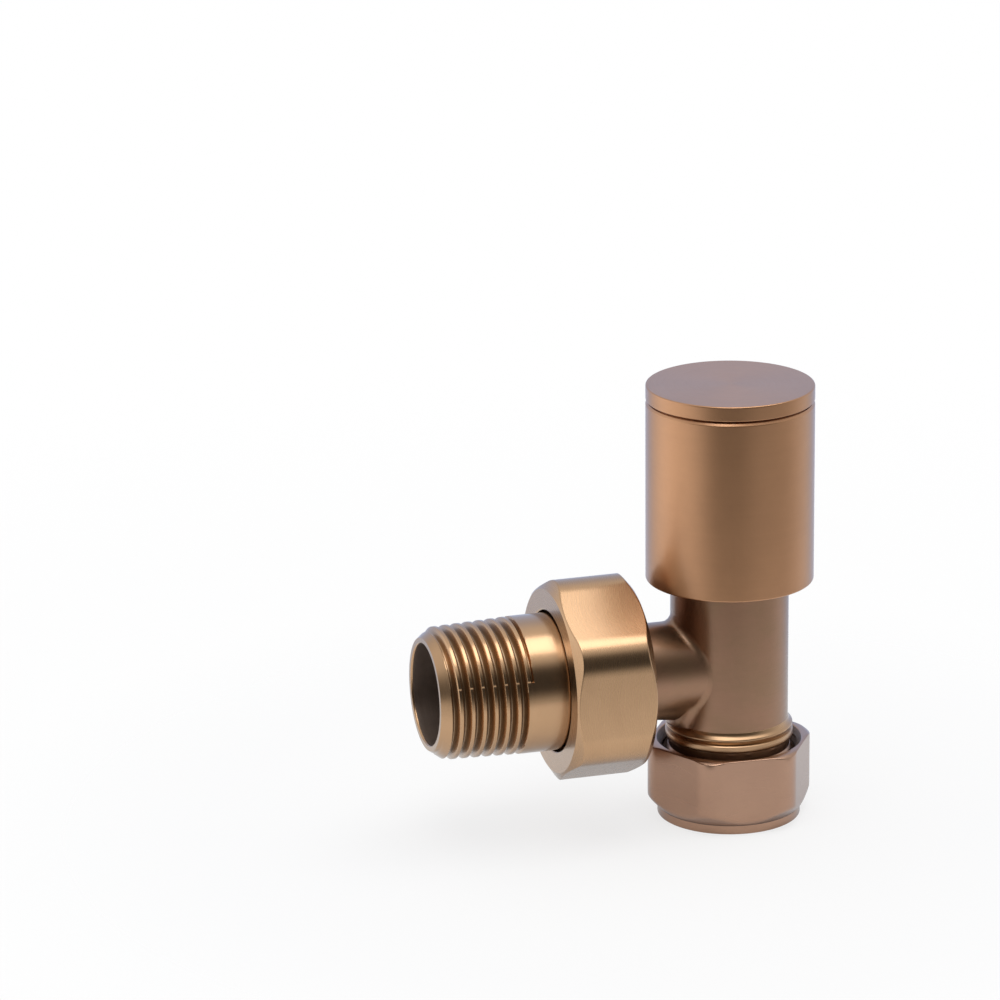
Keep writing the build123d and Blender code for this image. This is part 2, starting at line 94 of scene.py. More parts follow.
# Faces that meet at more than this angle keep a sharp edge
SHARP_EDGE = math.radians(32)

# Heights of the marks and the grain that catch the light
MARK_HEIGHT = 0.00003
GRAIN_HEIGHT = 0.00005

# Most of the noise lies between these two
NOISE_LOW = 0.3
NOISE_HIGH = 0.7

# How much rougher the floor of a groove is
GROOVE_ROUGHNESS = 0.2

# Finer marks squeezed and drawn out into bands
BAND_SCALE = (0.5, 0.5, 0.12)


def length(name, description, default):
    """A size in metres that the panel shows in the scene's own unit."""
    return FloatProperty(name=name, description=description, default=default, unit="LENGTH", precision=5)


def turn(name, description, degrees):
    """An angle, given in degrees."""
    return FloatProperty(name=name, description=description, default=math.radians(degrees), subtype="ANGLE")


def share(name, description, default):
    """A number from none to all."""
    return FloatProperty(name=name, description=description, default=default, min=0, max=1, subtype="FACTOR")


def colour(name, description, default):
    """A linear colour."""
    return FloatVectorProperty(
        name=name, description=description, default=default, size=3, min=0, max=1, subtype="COLOR"
    )


class BronzeFinish(PropertyGroup):
    """Colours of the plated bronze, the bare brass and the parts inside."""

    bronze: colour("Bronze", "Colour of the brushed plating", (0.56, 0.288, 0.142))
    bronze_shade: colour("Bronze shade", "Darker tone that clouds the plating", (0.46, 0.235, 0.115))
    bronze_glance: colour("Bronze glance", "Tint of the plating seen at a low angle", (0.67, 0.76, 0.84))
    gold: colour("Gold bronze", "Yellower colour of the plating on nuts and tail", (0.55, 0.335, 0.178))
    gold_shade: colour("Gold bronze shade", "Darker tone of the yellower plating", (0.47, 0.28, 0.145))
    # Also on the body's threads, where this darker tone is painted shade above the pipe nut
    dusky: colour("Dusky bronze", "Greyer colour of the plating on the pipe nut", (0.46, 0.272, 0.178))
    dusky_shade: colour("Dusky bronze shade", "Darker tone of the pipe nut", (0.39, 0.225, 0.15))
    # Groove colour: partly a duller oxide tone, partly painted shade deep in the tail's thread
    groove: colour("Groove", "Dull tone deep in the thread", (0.33, 0.21, 0.115))
    # The bore tone is also painted shade on the pipe nut's mouth, inner thread and hollow
    bore: colour("Bore", "Dull tone inside the tail", (0.25, 0.18, 0.14))
    forged: colour("Forged bronze", "Duller colour of the plating on the body", (0.38, 0.205, 0.125))
    forged_shade: colour("Forged bronze shade", "Darker tone of the body", (0.27, 0.178, 0.088))
    brass: colour("Brass", "Colour of the turned brass inside", (0.66, 0.48, 0.22))
    brass_shade: colour("Brass shade", "Duller tone of the brass", (0.5, 0.35, 0.16))
    brass_glance: colour("Brass glance", "Tint of the brass seen at a low angle", (0.9, 0.9, 0.9))
    rubber: colour("Rubber", "Colour of the seals", (0.012, 0.012, 0.013))
    plastic: colour("Plastic", "Colour of the moulded hub", (0.055, 0.055, 0.06))
    steel: colour("Steel", "Colour of the plated screws", (0.58, 0.58, 0.6))
    steel_glance: colour("Steel glance", "Tint of the screws seen at a low angle", (1, 1, 1))


class UnionTailSizes(PropertyGroup):
    """Sizes of the hollow tail with its tapered thread."""

    plain_radius: length("Plain radius", "Radius of the plain part", 0.01064)
    collar_thickness: length("Collar thickness", "Thickness of the collar in the nut", 0.0018)
    plain_length: length("Plain length", "Plain part outside the nut", 0.0054)
    pitch: length("Pitch", "Distance between the thread's turns", 0.001814)
    depth: length("Depth", "Depth of the thread", 0.00116)
    crest_land: length("Crest land", "Width of a crest's flat", 0.00044)
    root_land: length("Root land", "Width of a groove's floor", 0.00018)
    taper: FloatProperty(name="Taper", description="Change of radius along the thread", default=1 / 32)
    runout: length("Run-out", "Length in which the last groove fades", 0.0003)
    thread_begin: length("Thread begin", "Plain length before the first cut at the seam", 0.00012)
    thread_step: length("Thread step", "Climb of the thread's first edge in a turn", 0.0009)
    seam_height: length("Seam height", "Height of the fine burr along the seam", 0.00005)
    seam_turn: turn("Seam turn", "Angle of the seam", -69.4)
    mouth_bevel: length("Mouth bevel", "Length of the bevel at the mouth", 0.0019)
    mouth_land: length("Mouth land", "Width of the flat rim at the mouth", 0.0009)
    bore_radius: length("Bore radius", "Radius of the bore at the mouth", 0.00785)
    bore_depth: length("Bore depth", "Depth of the wide part of the bore", 0.0121)
    inner_radius: length("Inner radius", "Radius of the narrow part of the bore", 0.0062)
    spigot_radius: length("Spigot radius", "Radius of the end inside the body", 0.0085)
    spigot_length: length("Spigot length", "Length of the end inside the body", 0.003)
    ring_groove: length("Ring groove", "Width of the seal's groove", 0.0018)
    ring_floor: length("Ring floor", "Radius of the seal's groove", 0.0071)
    lug_width: length("Lug width", "Width of a key lug in the bore", 0.002)
    lug_height: length("Lug height", "Height of a key lug in the bore", 0.001)
    lug_length: length("Lug length", "Length of a key lug in the bore", 0.005)
    lug_turn: turn("Lug turn", "Angle of the lugs", 120)


class UnionNutSizes(PropertyGroup):
    """Sizes of the large nut on the branch."""

    half_flats: length("Half flats", "Half the size across flats", 0.01465)
    corner_radius: length("Corner radius", "Rounding of the hexagon's corners", 0.006)
    front_bevel: length("Front bevel", "Depth of the bevel towards the tail", 0.0011)
    front_radius: length("Front radius", "Radius of the flat front", 0.0143)
    back_bevel: length("Back bevel", "Depth of the bevel towards the body", 0.0012)
    back_radius: length("Back radius", "Radius of the flat back", 0.01455)
    hole_radius: length("Hole radius", "Radius of the hole for the tail", 0.01102)
    shoulder: length("Shoulder", "Thickness of the nut's front wall", 0.0028)
    bore_radius: length("Bore radius", "Smallest radius of the inner thread", 0.0133)
    thread_depth: length("Thread depth", "Depth of the inner thread", 0.0007)
    pitch: length("Pitch", "Distance between the thread's turns", 0.001814)


class CompressionNutSizes(PropertyGroup):
    """Sizes of the small nut at the pipe."""

    half_flats: length("Half flats", "Half the size across flats", 0.01185)
    corner_radius: length("Corner radius", "Rounding of the hexagon's corners", 0.0045)
    turn: turn("Turn", "Angle of a corner", 57)
    skirt_radius: length("Skirt radius", "Radius of the turned foot", 0.01115)
    skirt_height: length("Skirt height", "Height of the turned foot", 0.0014)
    skirt_bevel: length("Skirt bevel", "Height of the bevel above the foot", 0.002)
    foot_easing: length("Foot easing", "Rounding between the flats and the lower bevel", 0.0005)
    top_bevel: length("Top bevel", "Depth of the bevel at the top", 0.0004)
    top_radius: length("Top radius", "Radius of the flat top", 0.0124)
    top_easing: length("Top easing", "Rounding of the top edge", 0.00016)
    mouth_bevel: length("Mouth bevel", "Depth of the bevel at the mouth", 0.0008)
    bore_radius: length("Bore radius", "Smallest radius of the inner thread", 0.01051)
    thread_depth: length("Thread depth", "Depth of the inner thread", 0.0006)
    pitch: length("Pitch", "Distance between the thread's turns", 0.001814)
    floor: length("Floor", "Thickness of the floor under the olive", 0.0024)
    olive_cone: length("Olive cone", "Width of the cone for the olive", 0.00115)
    pipe_radius: length("Pipe radius", "Radius of the hole for the pipe", 0.0076)


class KnobSizes(PropertyGroup):
    """Sizes of the hand wheel."""

    wall: length("Wall", "Thickness of the sleeve", 0.0019)
    sleeve_bevel: length("Sleeve bevel", "Bevel of the sleeve's foot", 0.00026)
    lip_height: length("Lip height", "Height of the bevel under the shadow groove", 0.0004)
    lip_width: length("Lip width", "Width of the bevel under the shadow groove", 0.0003)
    groove_depth: length("Groove depth", "Depth of the shadow groove", 0.00085)
    groove_height: length("Groove height", "Height of the shadow groove", 0.00035)
    plug_wall: length("Plug wall", "Width of the cap's seat on the hub", 0.00185)
    plug_gap: length("Plug gap", "Clearance of the cap in the sleeve", 0.00002)
    rim_easing: length("Rim easing", "Rounding of the cap's rim", 0.00028)


class BodyThreadSizes(PropertyGroup):
    """Sizes of the threads on the body that the nuts turn on."""

    inlet_radius: length("Inlet radius", "Radius of the inlet's thread", 0.01043)
    inlet_start: length("Inlet start", "Height at which the inlet's thread starts", 0.0064)
    inlet_end: length("Inlet end", "Height at which the inlet's threaded part ends", 0.0139)
    boss_radius: length("Boss radius", "Radius of the union boss's thread", 0.01322)
    boss_start: length("Boss start", "Distance out along the branch at which the boss starts", 0.0172)
    boss_end: length("Boss end", "Distance out along the branch at which the boss ends", 0.0246)
    pitch: length("Pitch", "Distance between the thread's turns", 0.001814)
    depth: length("Depth", "Depth of the thread", 0.00075)
    crest_land: length("Crest land", "Width of a crest's flat", 0.0003)
    root_land: length("Root land", "Width of a groove's floor", 0.0002)
    bevel: length("Bevel", "Bevel at each end of the thread", 0.0009)
    barrel_radius: length("Barrel radius", "Radius of the barrel above the foot", 0.00917)
    foot_radius: length("Foot radius", "Radius of the body inside the turned bands", 0.0093)
    foot_drop: length("Foot drop", "How far the top of the inlet's thread comes down", 0.0011)
    relief: length("Relief", "Height of the plain groove above the inlet's thread", 0.0014)
    flare_drop: length("Flare drop", "How far the end of the straight barrel comes down", 0.00185)


class BodyBandSizes(PropertyGroup):
    """Sizes of the turned bands at the foot of the body."""

    barrel_radius: length("Barrel radius", "Radius of the barrel above", 0.00917)
    top: length("Top", "Height at which the flare begins", 0.0159)
    rim_middle: length("Rim middle", "Height of the flare's rim", 0.01485)
    rim_radius: length("Rim radius", "Radius of the flare's rim", 0.00988)
    bead_top: length("Bead top", "Top of the bead", 0.01395)
    bead_foot: length("Bead foot", "Foot of the bead", 0.0129)
    bead_radius: length("Bead radius", "Radius of the bead", 0.00995)


class StudioSettings(PropertyGroup):
    """The floor, the lamp, the surroundings and the camera."""

    floor_radius: length("Floor radius", "Radius of the pale floor", 0.27)
    floor_bright: length("Bright floor", "Radius within which the floor is fully lit", 0.065)
    floor_dim: length("Dim floor", "Radius at which most of the floor has faded", 0.115)
    floor_shift: length("Floor shift", "Place of the floor's middle along the branch", -0.012)
    floor_rest: share("Rest of floor", "Share of the floor that fades slowly to its edge", 0.28)
    floor_seen: share("Floor seen", "Share of the floor's white that the camera sees in any light", 0.75)
    floor_mirrored: share("Floor mirrored", "Share of the floor's white that reflections see", 0.35)
    floor_colour: colour("Floor colour", "Colour of the pale floor", (0.93, 0.93, 0.93))
    ambient: share("Ambient", "Light from all sides", 0.18)
    back_light: share("Back light", "Light from behind the valve", 0.42)
    left_light: share("Left light", "Light from the left", 0.9)
    left_trim: share("Left trim", "Share by which the left light weakens towards the back", 0.35)
    right_light: share("Right light", "Light from the right", 0.26)
    dark_side: share("Dark side", "Darkness of the side towards the camera", 0.85)
    ceiling: share("Ceiling", "Light from above", 0.88)
    key_power: FloatProperty(name="Key power", description="Power of the lamp", default=1.6, unit="POWER")
    camera_lens: FloatProperty(name="Camera lens", description="Focal length", default=199.125, unit="CAMERA")


class TurningAxis:
    """A line that pieces are turned about: where it starts, its direction and where angle zero lies."""

    def __init__(self, origin, along, zero):
        self.origin = np.array(origin, float)
        self.along = np.array(along, float)
        self.zero = np.array(zero, float)
        self.quarter = np.cross(self.along, self.zero)

    def split(self, points):
        """How far points lie along the axis, and their vectors away from it."""
        off_axis = points - self.origin
        along = off_axis @ self.along
        return along, off_axis - along[:, None] * self.along


pipe_axis = TurningAxis((0, 0, 0), (0, 0, 1), (1, 0, 0))
branch_axis = TurningAxis((0, 0, branch_height), (-1, 0, 0), (0, 0, 1))


def angles(steps):
    """Equal steps round a full turn."""
    return np.linspace(0, FULL_TURN, steps, endpoint=False)


def off_nearest(value, place, span=FULL_TURN):
    """How far a value lies from a place that comes again after each span."""
    return np.abs((value - place + span / 2) % span - span / 2)


def eased(profile, steps=4):
    """Round the corners of a profile whose points are (along, radius, rounding)."""
    points = []
    count = len(profile)
    for index, (along, radius, rounding) in enumerate(profile):
        here = np.array((along, radius), float)
        if not rounding:
            points.append(here)
            continue
        back = np.array(profile[index - 1][:2], float) - here
        ahead = np.array(profile[(index + 1) % count][:2], float) - here
        start = here + back / np.linalg.norm(back) * rounding
        end = here + ahead / np.linalg.norm(ahead) * rounding
        for t in np.linspace(0, 1, steps + 1):
            points.append((1 - t) ** 2 * start + 2 * t * (1 - t) * here + t**2 * end)
    return np.array(points)


def soft_min(a, b, width):
    """The smaller of two heights, with the edge between them rounded over a width."""
    h = np.clip(0.5 + 0.5 * (b - a) / width, 0, 1)
    return b * (1 - h) + a * h - width * h * (1 - h)


def groove_share(phase, pitch, crest_land, root_land):
    """0 on a thread's crest and 1 on the floor of its groove, for a phase counted in turns."""
    off_crest = off_nearest(phase, 0, 1)
    crest_edge = crest_land / 2 / pitch
    root_edge = 0.5 - root_land / 2 / pitch
    t = np.clip((off_crest - crest_edge) / (root_edge - crest_edge), 0, 1)
    return STRAIGHT_FLANK * t + (1 - STRAIGHT_FLANK) * t * t * (3 - 2 * t)


def hexagon_reach(angle, half_flats, corner_radius, corner_angle):
    """How far a hexagon with rounded corners reaches at each angle."""
    sector = math.pi / 3
    off_corner = off_nearest(angle, corner_angle, sector)
    centre = (half_flats - corner_radius) / math.cos(sector / 2)
    flat = half_flats / np.cos(sector / 2 - off_corner)
    rounding = np.sqrt(np.clip(corner_radius**2 - (centre * np.sin(off_corner)) ** 2, 0, None))
    arc = centre * np.cos(off_corner) + rounding
    tangent_out = centre + corner_radius * math.cos(sector / 2)
    tangent = math.atan2(corner_radius * math.sin(sector / 2), tangent_out)
    return np.where(off_corner < tangent, arc, flat)


def bevel_reach(into, start, corner, bevel):
    """How far a bevel lets a nut reach, from the start radius at its face to the corners."""
    return start + into * (corner - start) / bevel


def stretches(places, counts):
    """Even rows in each stretch between two places, with each place once."""
    rows = [np.linspace(*ends, count)[:-1] for *ends, count in zip(places, places[1:], counts)]
    return np.concatenate([*rows, places[-1:]])


def thread_spots(half):
    """Places of the rows over one turn of a thread, the same up and down the groove."""
    half = np.array(half)
    return np.concatenate([half, [0.5], 1 - half[:0:-1]])


def plain_rings(points, steps):
    """Rings of one radius each, from (along, radius) points."""
    points = np.asarray(points, float)
    along = np.repeat(points[:, 0][:, None], steps, axis=1)
    radius = np.repeat(points[:, 1][:, None], steps, axis=1)
    return along, radius, 0


def full_rings(along, radius):
    """Rings that each lie at one place along the axis but change in radius."""
    return np.repeat(along[:, None], radius.shape[1], axis=1), radius, 0


def helix_rows(start, end, pitch, spots, angle):
    """Rows that climb one pitch in a turn, held between a start and an end, and their phases in turns."""
    turns = int(math.ceil((end - start) / pitch)) + 2
    offsets = (np.arange(turns)[:, None] + spots[None, :]).ravel()
    along = start + pitch * (offsets[:, None] - 1 + angle[None, :] / FULL_TURN)
    phase = np.repeat(offsets[:, None], len(angle), axis=1)
    return np.clip(along, start, end), phase, len(spots)


def nut_thread(size, depth, angle, ends):
    """The rings of a nut's inner thread, with its share at each depth."""
    phase = depth[:, None] / size.pitch - angle[None, :] / FULL_TURN
    crest = 1 - groove_share(phase, size.pitch, NUT_CREST_LAND, NUT_ROOT_LAND)
    return full_rings(depth, size.bore_radius + size.thread_depth * ends[:, None] * crest)


def turned_quads(blocks, steps):
    """Quads between neighbouring rows, where a climbing row meets a later row after its turn."""
    total = sum(len(block[0]) for block in blocks)
    next_row = (np.arange(total) + 1) % total
    climbed = np.arange(total)
    first = 0
    for block in blocks:
        last = first + len(block[0]) - 1
        climbed[first : last + 1] = np.minimum(climbed[first : last + 1] + block[2], last)
        first = last + 1
    row = np.repeat(np.arange(total)[:, None], steps, axis=1)
    beyond = np.concatenate([row[:, 1:], climbed[:, None]], axis=1)
    step = np.arange(steps)[None, :]
    next_step = (step + 1) % steps
    next_beyond = np.where(step < steps - 1, next_row[row], climbed[next_row][:, None])
    corners = [
        row * steps + step,
        next_row[row] * steps + step,
        next_beyond * steps + next_step,
        beyond * steps + next_step,
    ]
    return np.stack(corners, axis=-1).reshape(-1, 4)


def turned_piece(name, axis, blocks, finish, body, node, angle=None, inner=None):
    """Build a closed piece from blocks of rows about an axis, with another finish inside if one is given."""
    steps = blocks[0][0].shape[1]
    angle = angles(steps) if angle is None else angle
    spokes = np.cos(angle)[:, None] * axis.zero + np.sin(angle)[:, None] * axis.quarter
    along = np.concatenate([block[0] for block in blocks])
    radius = np.concatenate([block[1] for block in blocks])
    points = axis.origin + along[..., None] * axis.along + radius[..., None] * spokes[None]
    points = points.reshape(-1, 3)
    quads = turned_quads(blocks, steps)
    corners = points[quads]
    volume = np.sum(corners[:, 0] * np.cross(corners[:, 1], corners[:, 2]))
    volume += np.sum(corners[:, 0] * np.cross(corners[:, 2], corners[:, 3]))
    if volume < 0:
        quads = quads[:, ::-1]
    mesh = bpy.data.meshes.new(name)
    mesh.from_pydata(points.tolist(), [], quads.tolist())
    closed = bmesh.new()
    closed.from_mesh(mesh)
    bmesh.ops.remove_doubles(closed, verts=closed.verts, dist=SAME_POINT)
    bmesh.ops.dissolve_degenerate(closed, dist=NO_EDGE, edges=closed.edges)
    closed.to_mesh(mesh)
    closed.free()
    mesh.materials.append(finish_called(finish))
    if inner:
        inner_finish, inner_radius, inner_start = inner
        mesh.materials.append(finish_called(inner_finish))
        centres = np.empty(3 * len(mesh.polygons))
        mesh.polygons.foreach_get("center", centres)
        out, off_axis = axis.split(centres.reshape(-1, 3))
        inside = (np.linalg.norm(off_axis, axis=1) < inner_radius) & (out > inner_start)
        mesh.polygons.foreach_set("material_index", inside.astype(np.int32))
    mesh.polygons.foreach_set("use_smooth", np.ones(len(mesh.polygons), bool))
    mesh.set_sharp_from_angle(angle=SHARP_EDGE)
    piece = placed_piece(name, mesh, body, node)
    weighted = piece.modifiers.new("Face weighted normals", "WEIGHTED_NORMAL")
    weighted.keep_sharp = True


def placed_piece(name, mesh, body, node):
    """Let a mesh ride on a body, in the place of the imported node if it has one."""
    piece = bpy.data.objects.new(name, mesh)
    bpy.context.scene.collection.objects.link(piece)
    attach(piece, body)
    if node:
        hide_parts(node)
    return piece


def add_node(tree, kind, inputs=None, **settings):
    """A shader node with its settings, and with its inputs linked to sockets or set to values."""
    node = tree.nodes.new(f"ShaderNode{kind}")
    for key, value in settings.items():
        setattr(node, key, value)
    for key, value in (inputs or {}).items():
        if isinstance(value, NodeSocket):
            tree.links.new(value, node.inputs[key])
        else:
            node.inputs[key].default_value = value
    return node


def calc(tree, operation, *values, **settings):
    """One step of arithmetic on sockets or numbers."""
    return add_node(tree, "Math", dict(enumerate(values)), operation=operation, **settings).outputs[0]


def vector_calc(tree, operation, *values):
    """One step of arithmetic on vectors, which gives a vector or a number."""
    node = add_node(tree, "VectorMath", dict(enumerate(values)), operation=operation)
    return node.outputs["Value" if operation in ("LENGTH", "DOT_PRODUCT") else "Vector"]


def mapped(tree, value, low, high, to_low=0.0, to_high=1.0, interpolation="SMOOTHSTEP"):
    """A value's place between low and high, carried over to another span."""
    inputs = {"Value": value, "From Min": low, "From Max": high, "To Min": to_low, "To Max": to_high}
    return add_node(tree, "MapRange", inputs, interpolation_type=interpolation).outputs[0]


def mixed(tree, factor, first, second):
    """A colour between two colours."""
    return add_node(tree, "Mix", {0: factor, 6: first, 7: second}, data_type="RGBA").outputs[2]


def noise(tree, place, scale, detail, roughness):
    """Soft noise from none to all."""
    inputs = {"Vector": place, "Scale": scale, "Detail": detail, "Roughness": roughness}
    return add_node(tree, "TexNoise", inputs).outputs["Fac"]


def turned_place(tree, position):
    """Where a spot lies: how far along the axis, how far from it, and the vector from it."""
    parts = add_node(tree, "SeparateXYZ", {0: position}).outputs
    flat = add_node(tree, "CombineXYZ", {"X": parts["X"], "Y": parts["Y"]}).outputs[0]
    return parts["Z"], vector_calc(tree, "LENGTH", flat), flat


def new_group(name, inputs, outputs):
    """An empty shader node group, what it is given and what it gives back."""
    tree = bpy.data.node_groups.new(name, "ShaderNodeTree")
    for socket_name, kind, default in inputs:
        socket = tree.interface.new_socket(socket_name, in_out="INPUT", socket_type=f"NodeSocket{kind}")
        if default is not None:
            socket.default_value = default
    for socket_name, kind in outputs:
        tree.interface.new_socket(socket_name, in_out="OUTPUT", socket_type=f"NodeSocket{kind}")
    return tree, tree.nodes.new("NodeGroupInput").outputs, tree.nodes.new("NodeGroupOutput").inputs


def turning_marks_group(name):
    """Fine lines round the axis, on walls and on end faces alike."""
    tree, given, result = new_group(
        name,
        [("Position", "Vector", None), ("Lines", "Float", 8000.0), ("Stretch", "Float", 3.0)],
        [("Marks", "Float"), ("Bands", "Float")],
    )
    along, reach, flat = turned_place(tree, given["Position"])
    lines = calc(tree, "MULTIPLY", calc(tree, "ADD", along, reach), given["Lines"])
    spoke = {0: vector_calc(tree, "NORMALIZE", flat), "Scale": given["Stretch"]}
    stretched = add_node(tree, "VectorMath", spoke, operation="SCALE").outputs[0]
    rise = add_node(tree, "CombineXYZ", {"Z": lines}).outputs[0]
    place = vector_calc(tree, "ADD", stretched, rise)
    wide = vector_calc(tree, "MULTIPLY", place, BAND_SCALE)
    tree.links.new(noise(tree, place, scale=1.0, detail=3.0, roughness=0.65), result["Marks"])
    tree.links.new(noise(tree, wide, scale=1.0, detail=2.0, roughness=0.5), result["Bands"])
    return tree


def clouded_tone_group(name):
    """A metal's colour with soft clouds of a darker tone and a faint speckle."""
    tree, given, result = new_group(
        name,
        [
            ("Position", "Vector", None),
            ("Marks", "Float", 0.5),
            ("Tone", "Color", None),
            ("Shade", "Color", None),
            ("Cloud", "Float", 0.35),
            ("Speckle", "Float", 0.3),
        ],
        [("Colour", "Color")],
    )
    clouds = noise(tree, given["Position"], scale=140.0, detail=3.0, roughness=0.55)
    clouds = mapped(tree, clouds, low=0.35, high=0.7)
    cloud_share = calc(tree, "MULTIPLY", clouds, given["Cloud"])
    mark_share = calc(tree, "MULTIPLY", given["Marks"], given["Speckle"])
    total = calc(tree, "ADD", cloud_share, mark_share, use_clamp=True)
    tree.links.new(mixed(tree, total, given["Tone"], given["Shade"]), result["Colour"])
    return tree


# Mask for the groove colour, which is partly a duller oxide tone and partly painted shade
def groove_shade_group(name):
    """How deep a spot lies below the crests of a tapered thread, from none to all."""
    tree, given, result = new_group(
        name,
        [
            ("Position", "Vector", None),
            ("Crest", "Float", 0.01),
            ("Taper", "Float", 0.03),
            ("Depth", "Float", 0.001),
            ("Mouth", "Float", 0.05),
        ],
        [("Shade", "Float")],
    )
    along, reach, _ = turned_place(tree, given["Position"])
    level = calc(tree, "MULTIPLY_ADD", along, given["Taper"], reach)
    below = calc(tree, "SUBTRACT", given["Crest"], level)
    deep = mapped(tree, calc(tree, "DIVIDE", below, given["Depth"]), low=0.15, high=0.85)
    before_mouth = mapped(tree, calc(tree, "SUBTRACT", given["Mouth"], along), low=0.0, high=0.0004)
    tree.links.new(calc(tree, "MULTIPLY", deep, before_mouth), result["Shade"])
    return tree


def surface_grain_group(name):
    """A fine even grain, as a blasted forging or a moulding has."""
    given_sockets = [("Position", "Vector", None), ("Grain", "Float", 5000.0)]
    tree, given, result = new_group(name, given_sockets, [("Height", "Float")])
    grain = noise(tree, given["Position"], given["Grain"], detail=4.0, roughness=0.6)
    tree.links.new(grain, result["Height"])
    return tree


shared_groups = {
    "Turning marks": turning_marks_group,
    "Clouded tone": clouded_tone_group,
    "Groove shade": groove_shade_group,
    "Surface grain": surface_grain_group,
}


def group_node(tree, name, inputs):
    """What a shared node group gives back, where the group is built the first time it is asked for."""
    group = bpy.data.node_groups.get(name) or shared_groups[name](name)
    return add_node(tree, "Group", inputs, node_tree=group).outputs


def new_material(name):
    """A material with an empty node tree."""
    material = bpy.data.materials.new(name)
    material.use_nodes = True
    material.node_tree.nodes.clear()
    return material


def clouded_tone(tree, position, marks, tone, shade, **shares):
    """The colour of a tone clouded with its shade."""
    inputs = {"Position": position, "Marks": marks, "Tone": (*tone, 1), "Shade": (*shade, 1), **shares}
    return group_node(tree, "Clouded tone", inputs)["Colour"]


def roughness_between(tree, value, rough):
    """A roughness that follows the marks or the grain."""
    return mapped(tree, value, NOISE_LOW, NOISE_HIGH, *rough, interpolation="LINEAR")


def bumped(tree, height, strength, distance, **inputs):
    """A normal that follows a height."""
    inputs.update(Height=height, Strength=strength, Distance=distance)
    return add_node(tree, "Bump", inputs).outputs[0]


def metal_finish(
    name,
    tone,
    shade,
    glance,
    about_branch=False,
    lines=8000.0,
    stretch=3.0,
    rough=(0.22, 0.34),
    cloud=0.3,
    speckle=0.25,
    mark_depth=0.05,
    grain=0.0,
    grain_depth=0.0,
    coat=0.7,
    metallic=1.0,
    thread=None,
    oxide_and_shade_tone=None,
):
    """A metal with lines left by turning or brushing, clouded tone and an optional grain."""
    tree = new_material(name).node_tree
    position = add_node(tree, "TexCoord").outputs["Object"]
    if about_branch:
        turned = {"Vector": position, "Location": (-branch_height, 0, 0), "Rotation": (0, math.pi / 2, 0)}
        position = add_node(tree, "Mapping", turned).outputs[0]
    marks = group_node(tree, "Turning marks", {"Position": position, "Lines": lines, "Stretch": stretch})
    base = clouded_tone(tree, position, marks["Bands"], tone, shade, Cloud=cloud, Speckle=speckle)
    roughness = roughness_between(tree, marks["Marks"], rough)
    normal = bumped(tree, marks["Marks"], mark_depth, MARK_HEIGHT)
    # Deep in a thread the colour turns to the groove tone, partly a duller oxide and partly painted shade,
    # and the surface gets rougher
    if thread:
        oxide_and_shade_share = group_node(tree, "Groove shade", {"Position": position, **thread})["Shade"]
        base = mixed(tree, oxide_and_shade_share, base, (*oxide_and_shade_tone, 1))
        roughness = calc(tree, "MULTIPLY_ADD", oxide_and_shade_share, GROOVE_ROUGHNESS, roughness)
    if grain:
        height = group_node(tree, "Surface grain", {"Position": position, "Grain": grain})["Height"]
        normal = bumped(tree, height, grain_depth, GRAIN_HEIGHT, Normal=normal)
    round_axis = "X" if about_branch else "Z"
    surface = {
        "Base Color": base,
        "Roughness": roughness,
        "Normal": normal,
        "Metallic": metallic,
        "Specular Tint": (*glance, 1),
        "Anisotropic": 0.35,
        "Anisotropic Rotation": 0.25,
        "Tangent": add_node(tree, "Tangent", direction_type="RADIAL", axis=round_axis).outputs[0],
        "Coat Weight": coat,
        "Coat Roughness": 0.2,
    }
    metal = add_node(tree, "BsdfPrincipled", surface)
    add_node(tree, "OutputMaterial", {"Surface": metal.outputs[0]})


def dull_finish(name, tone, rough, grain, grain_depth, specular):
    """A rubber or plastic with a fine grain that breaks its gloss."""
    tree = new_material(name).node_tree
    position = add_node(tree, "TexCoord").outputs["Object"]
    height = group_node(tree, "Surface grain", {"Position": position, "Grain": grain})["Height"]
    surface = {
        "Base Color": clouded_tone(tree, position, height, tone, darker(tone, 0.6), Cloud=0.5),
        "Roughness": roughness_between(tree, height, rough),
        "Normal": bumped(tree, height, grain_depth, GRAIN_HEIGHT),
        "Specular IOR Level": specular,
    }
    dull = add_node(tree, "BsdfPrincipled", surface)
    add_node(tree, "OutputMaterial", {"Surface": dull.outputs[0]})


def darker(tone, part):
    """A tone at a part of its brightness."""
    return [part * channel for channel in tone]


def finish_called(name):
    """A finish that the finishes operator has made."""
    material = bpy.data.materials.get(name)
    if material is None:
        raise RuntimeError(f"Make the finishes first: {name} is missing")
    return material


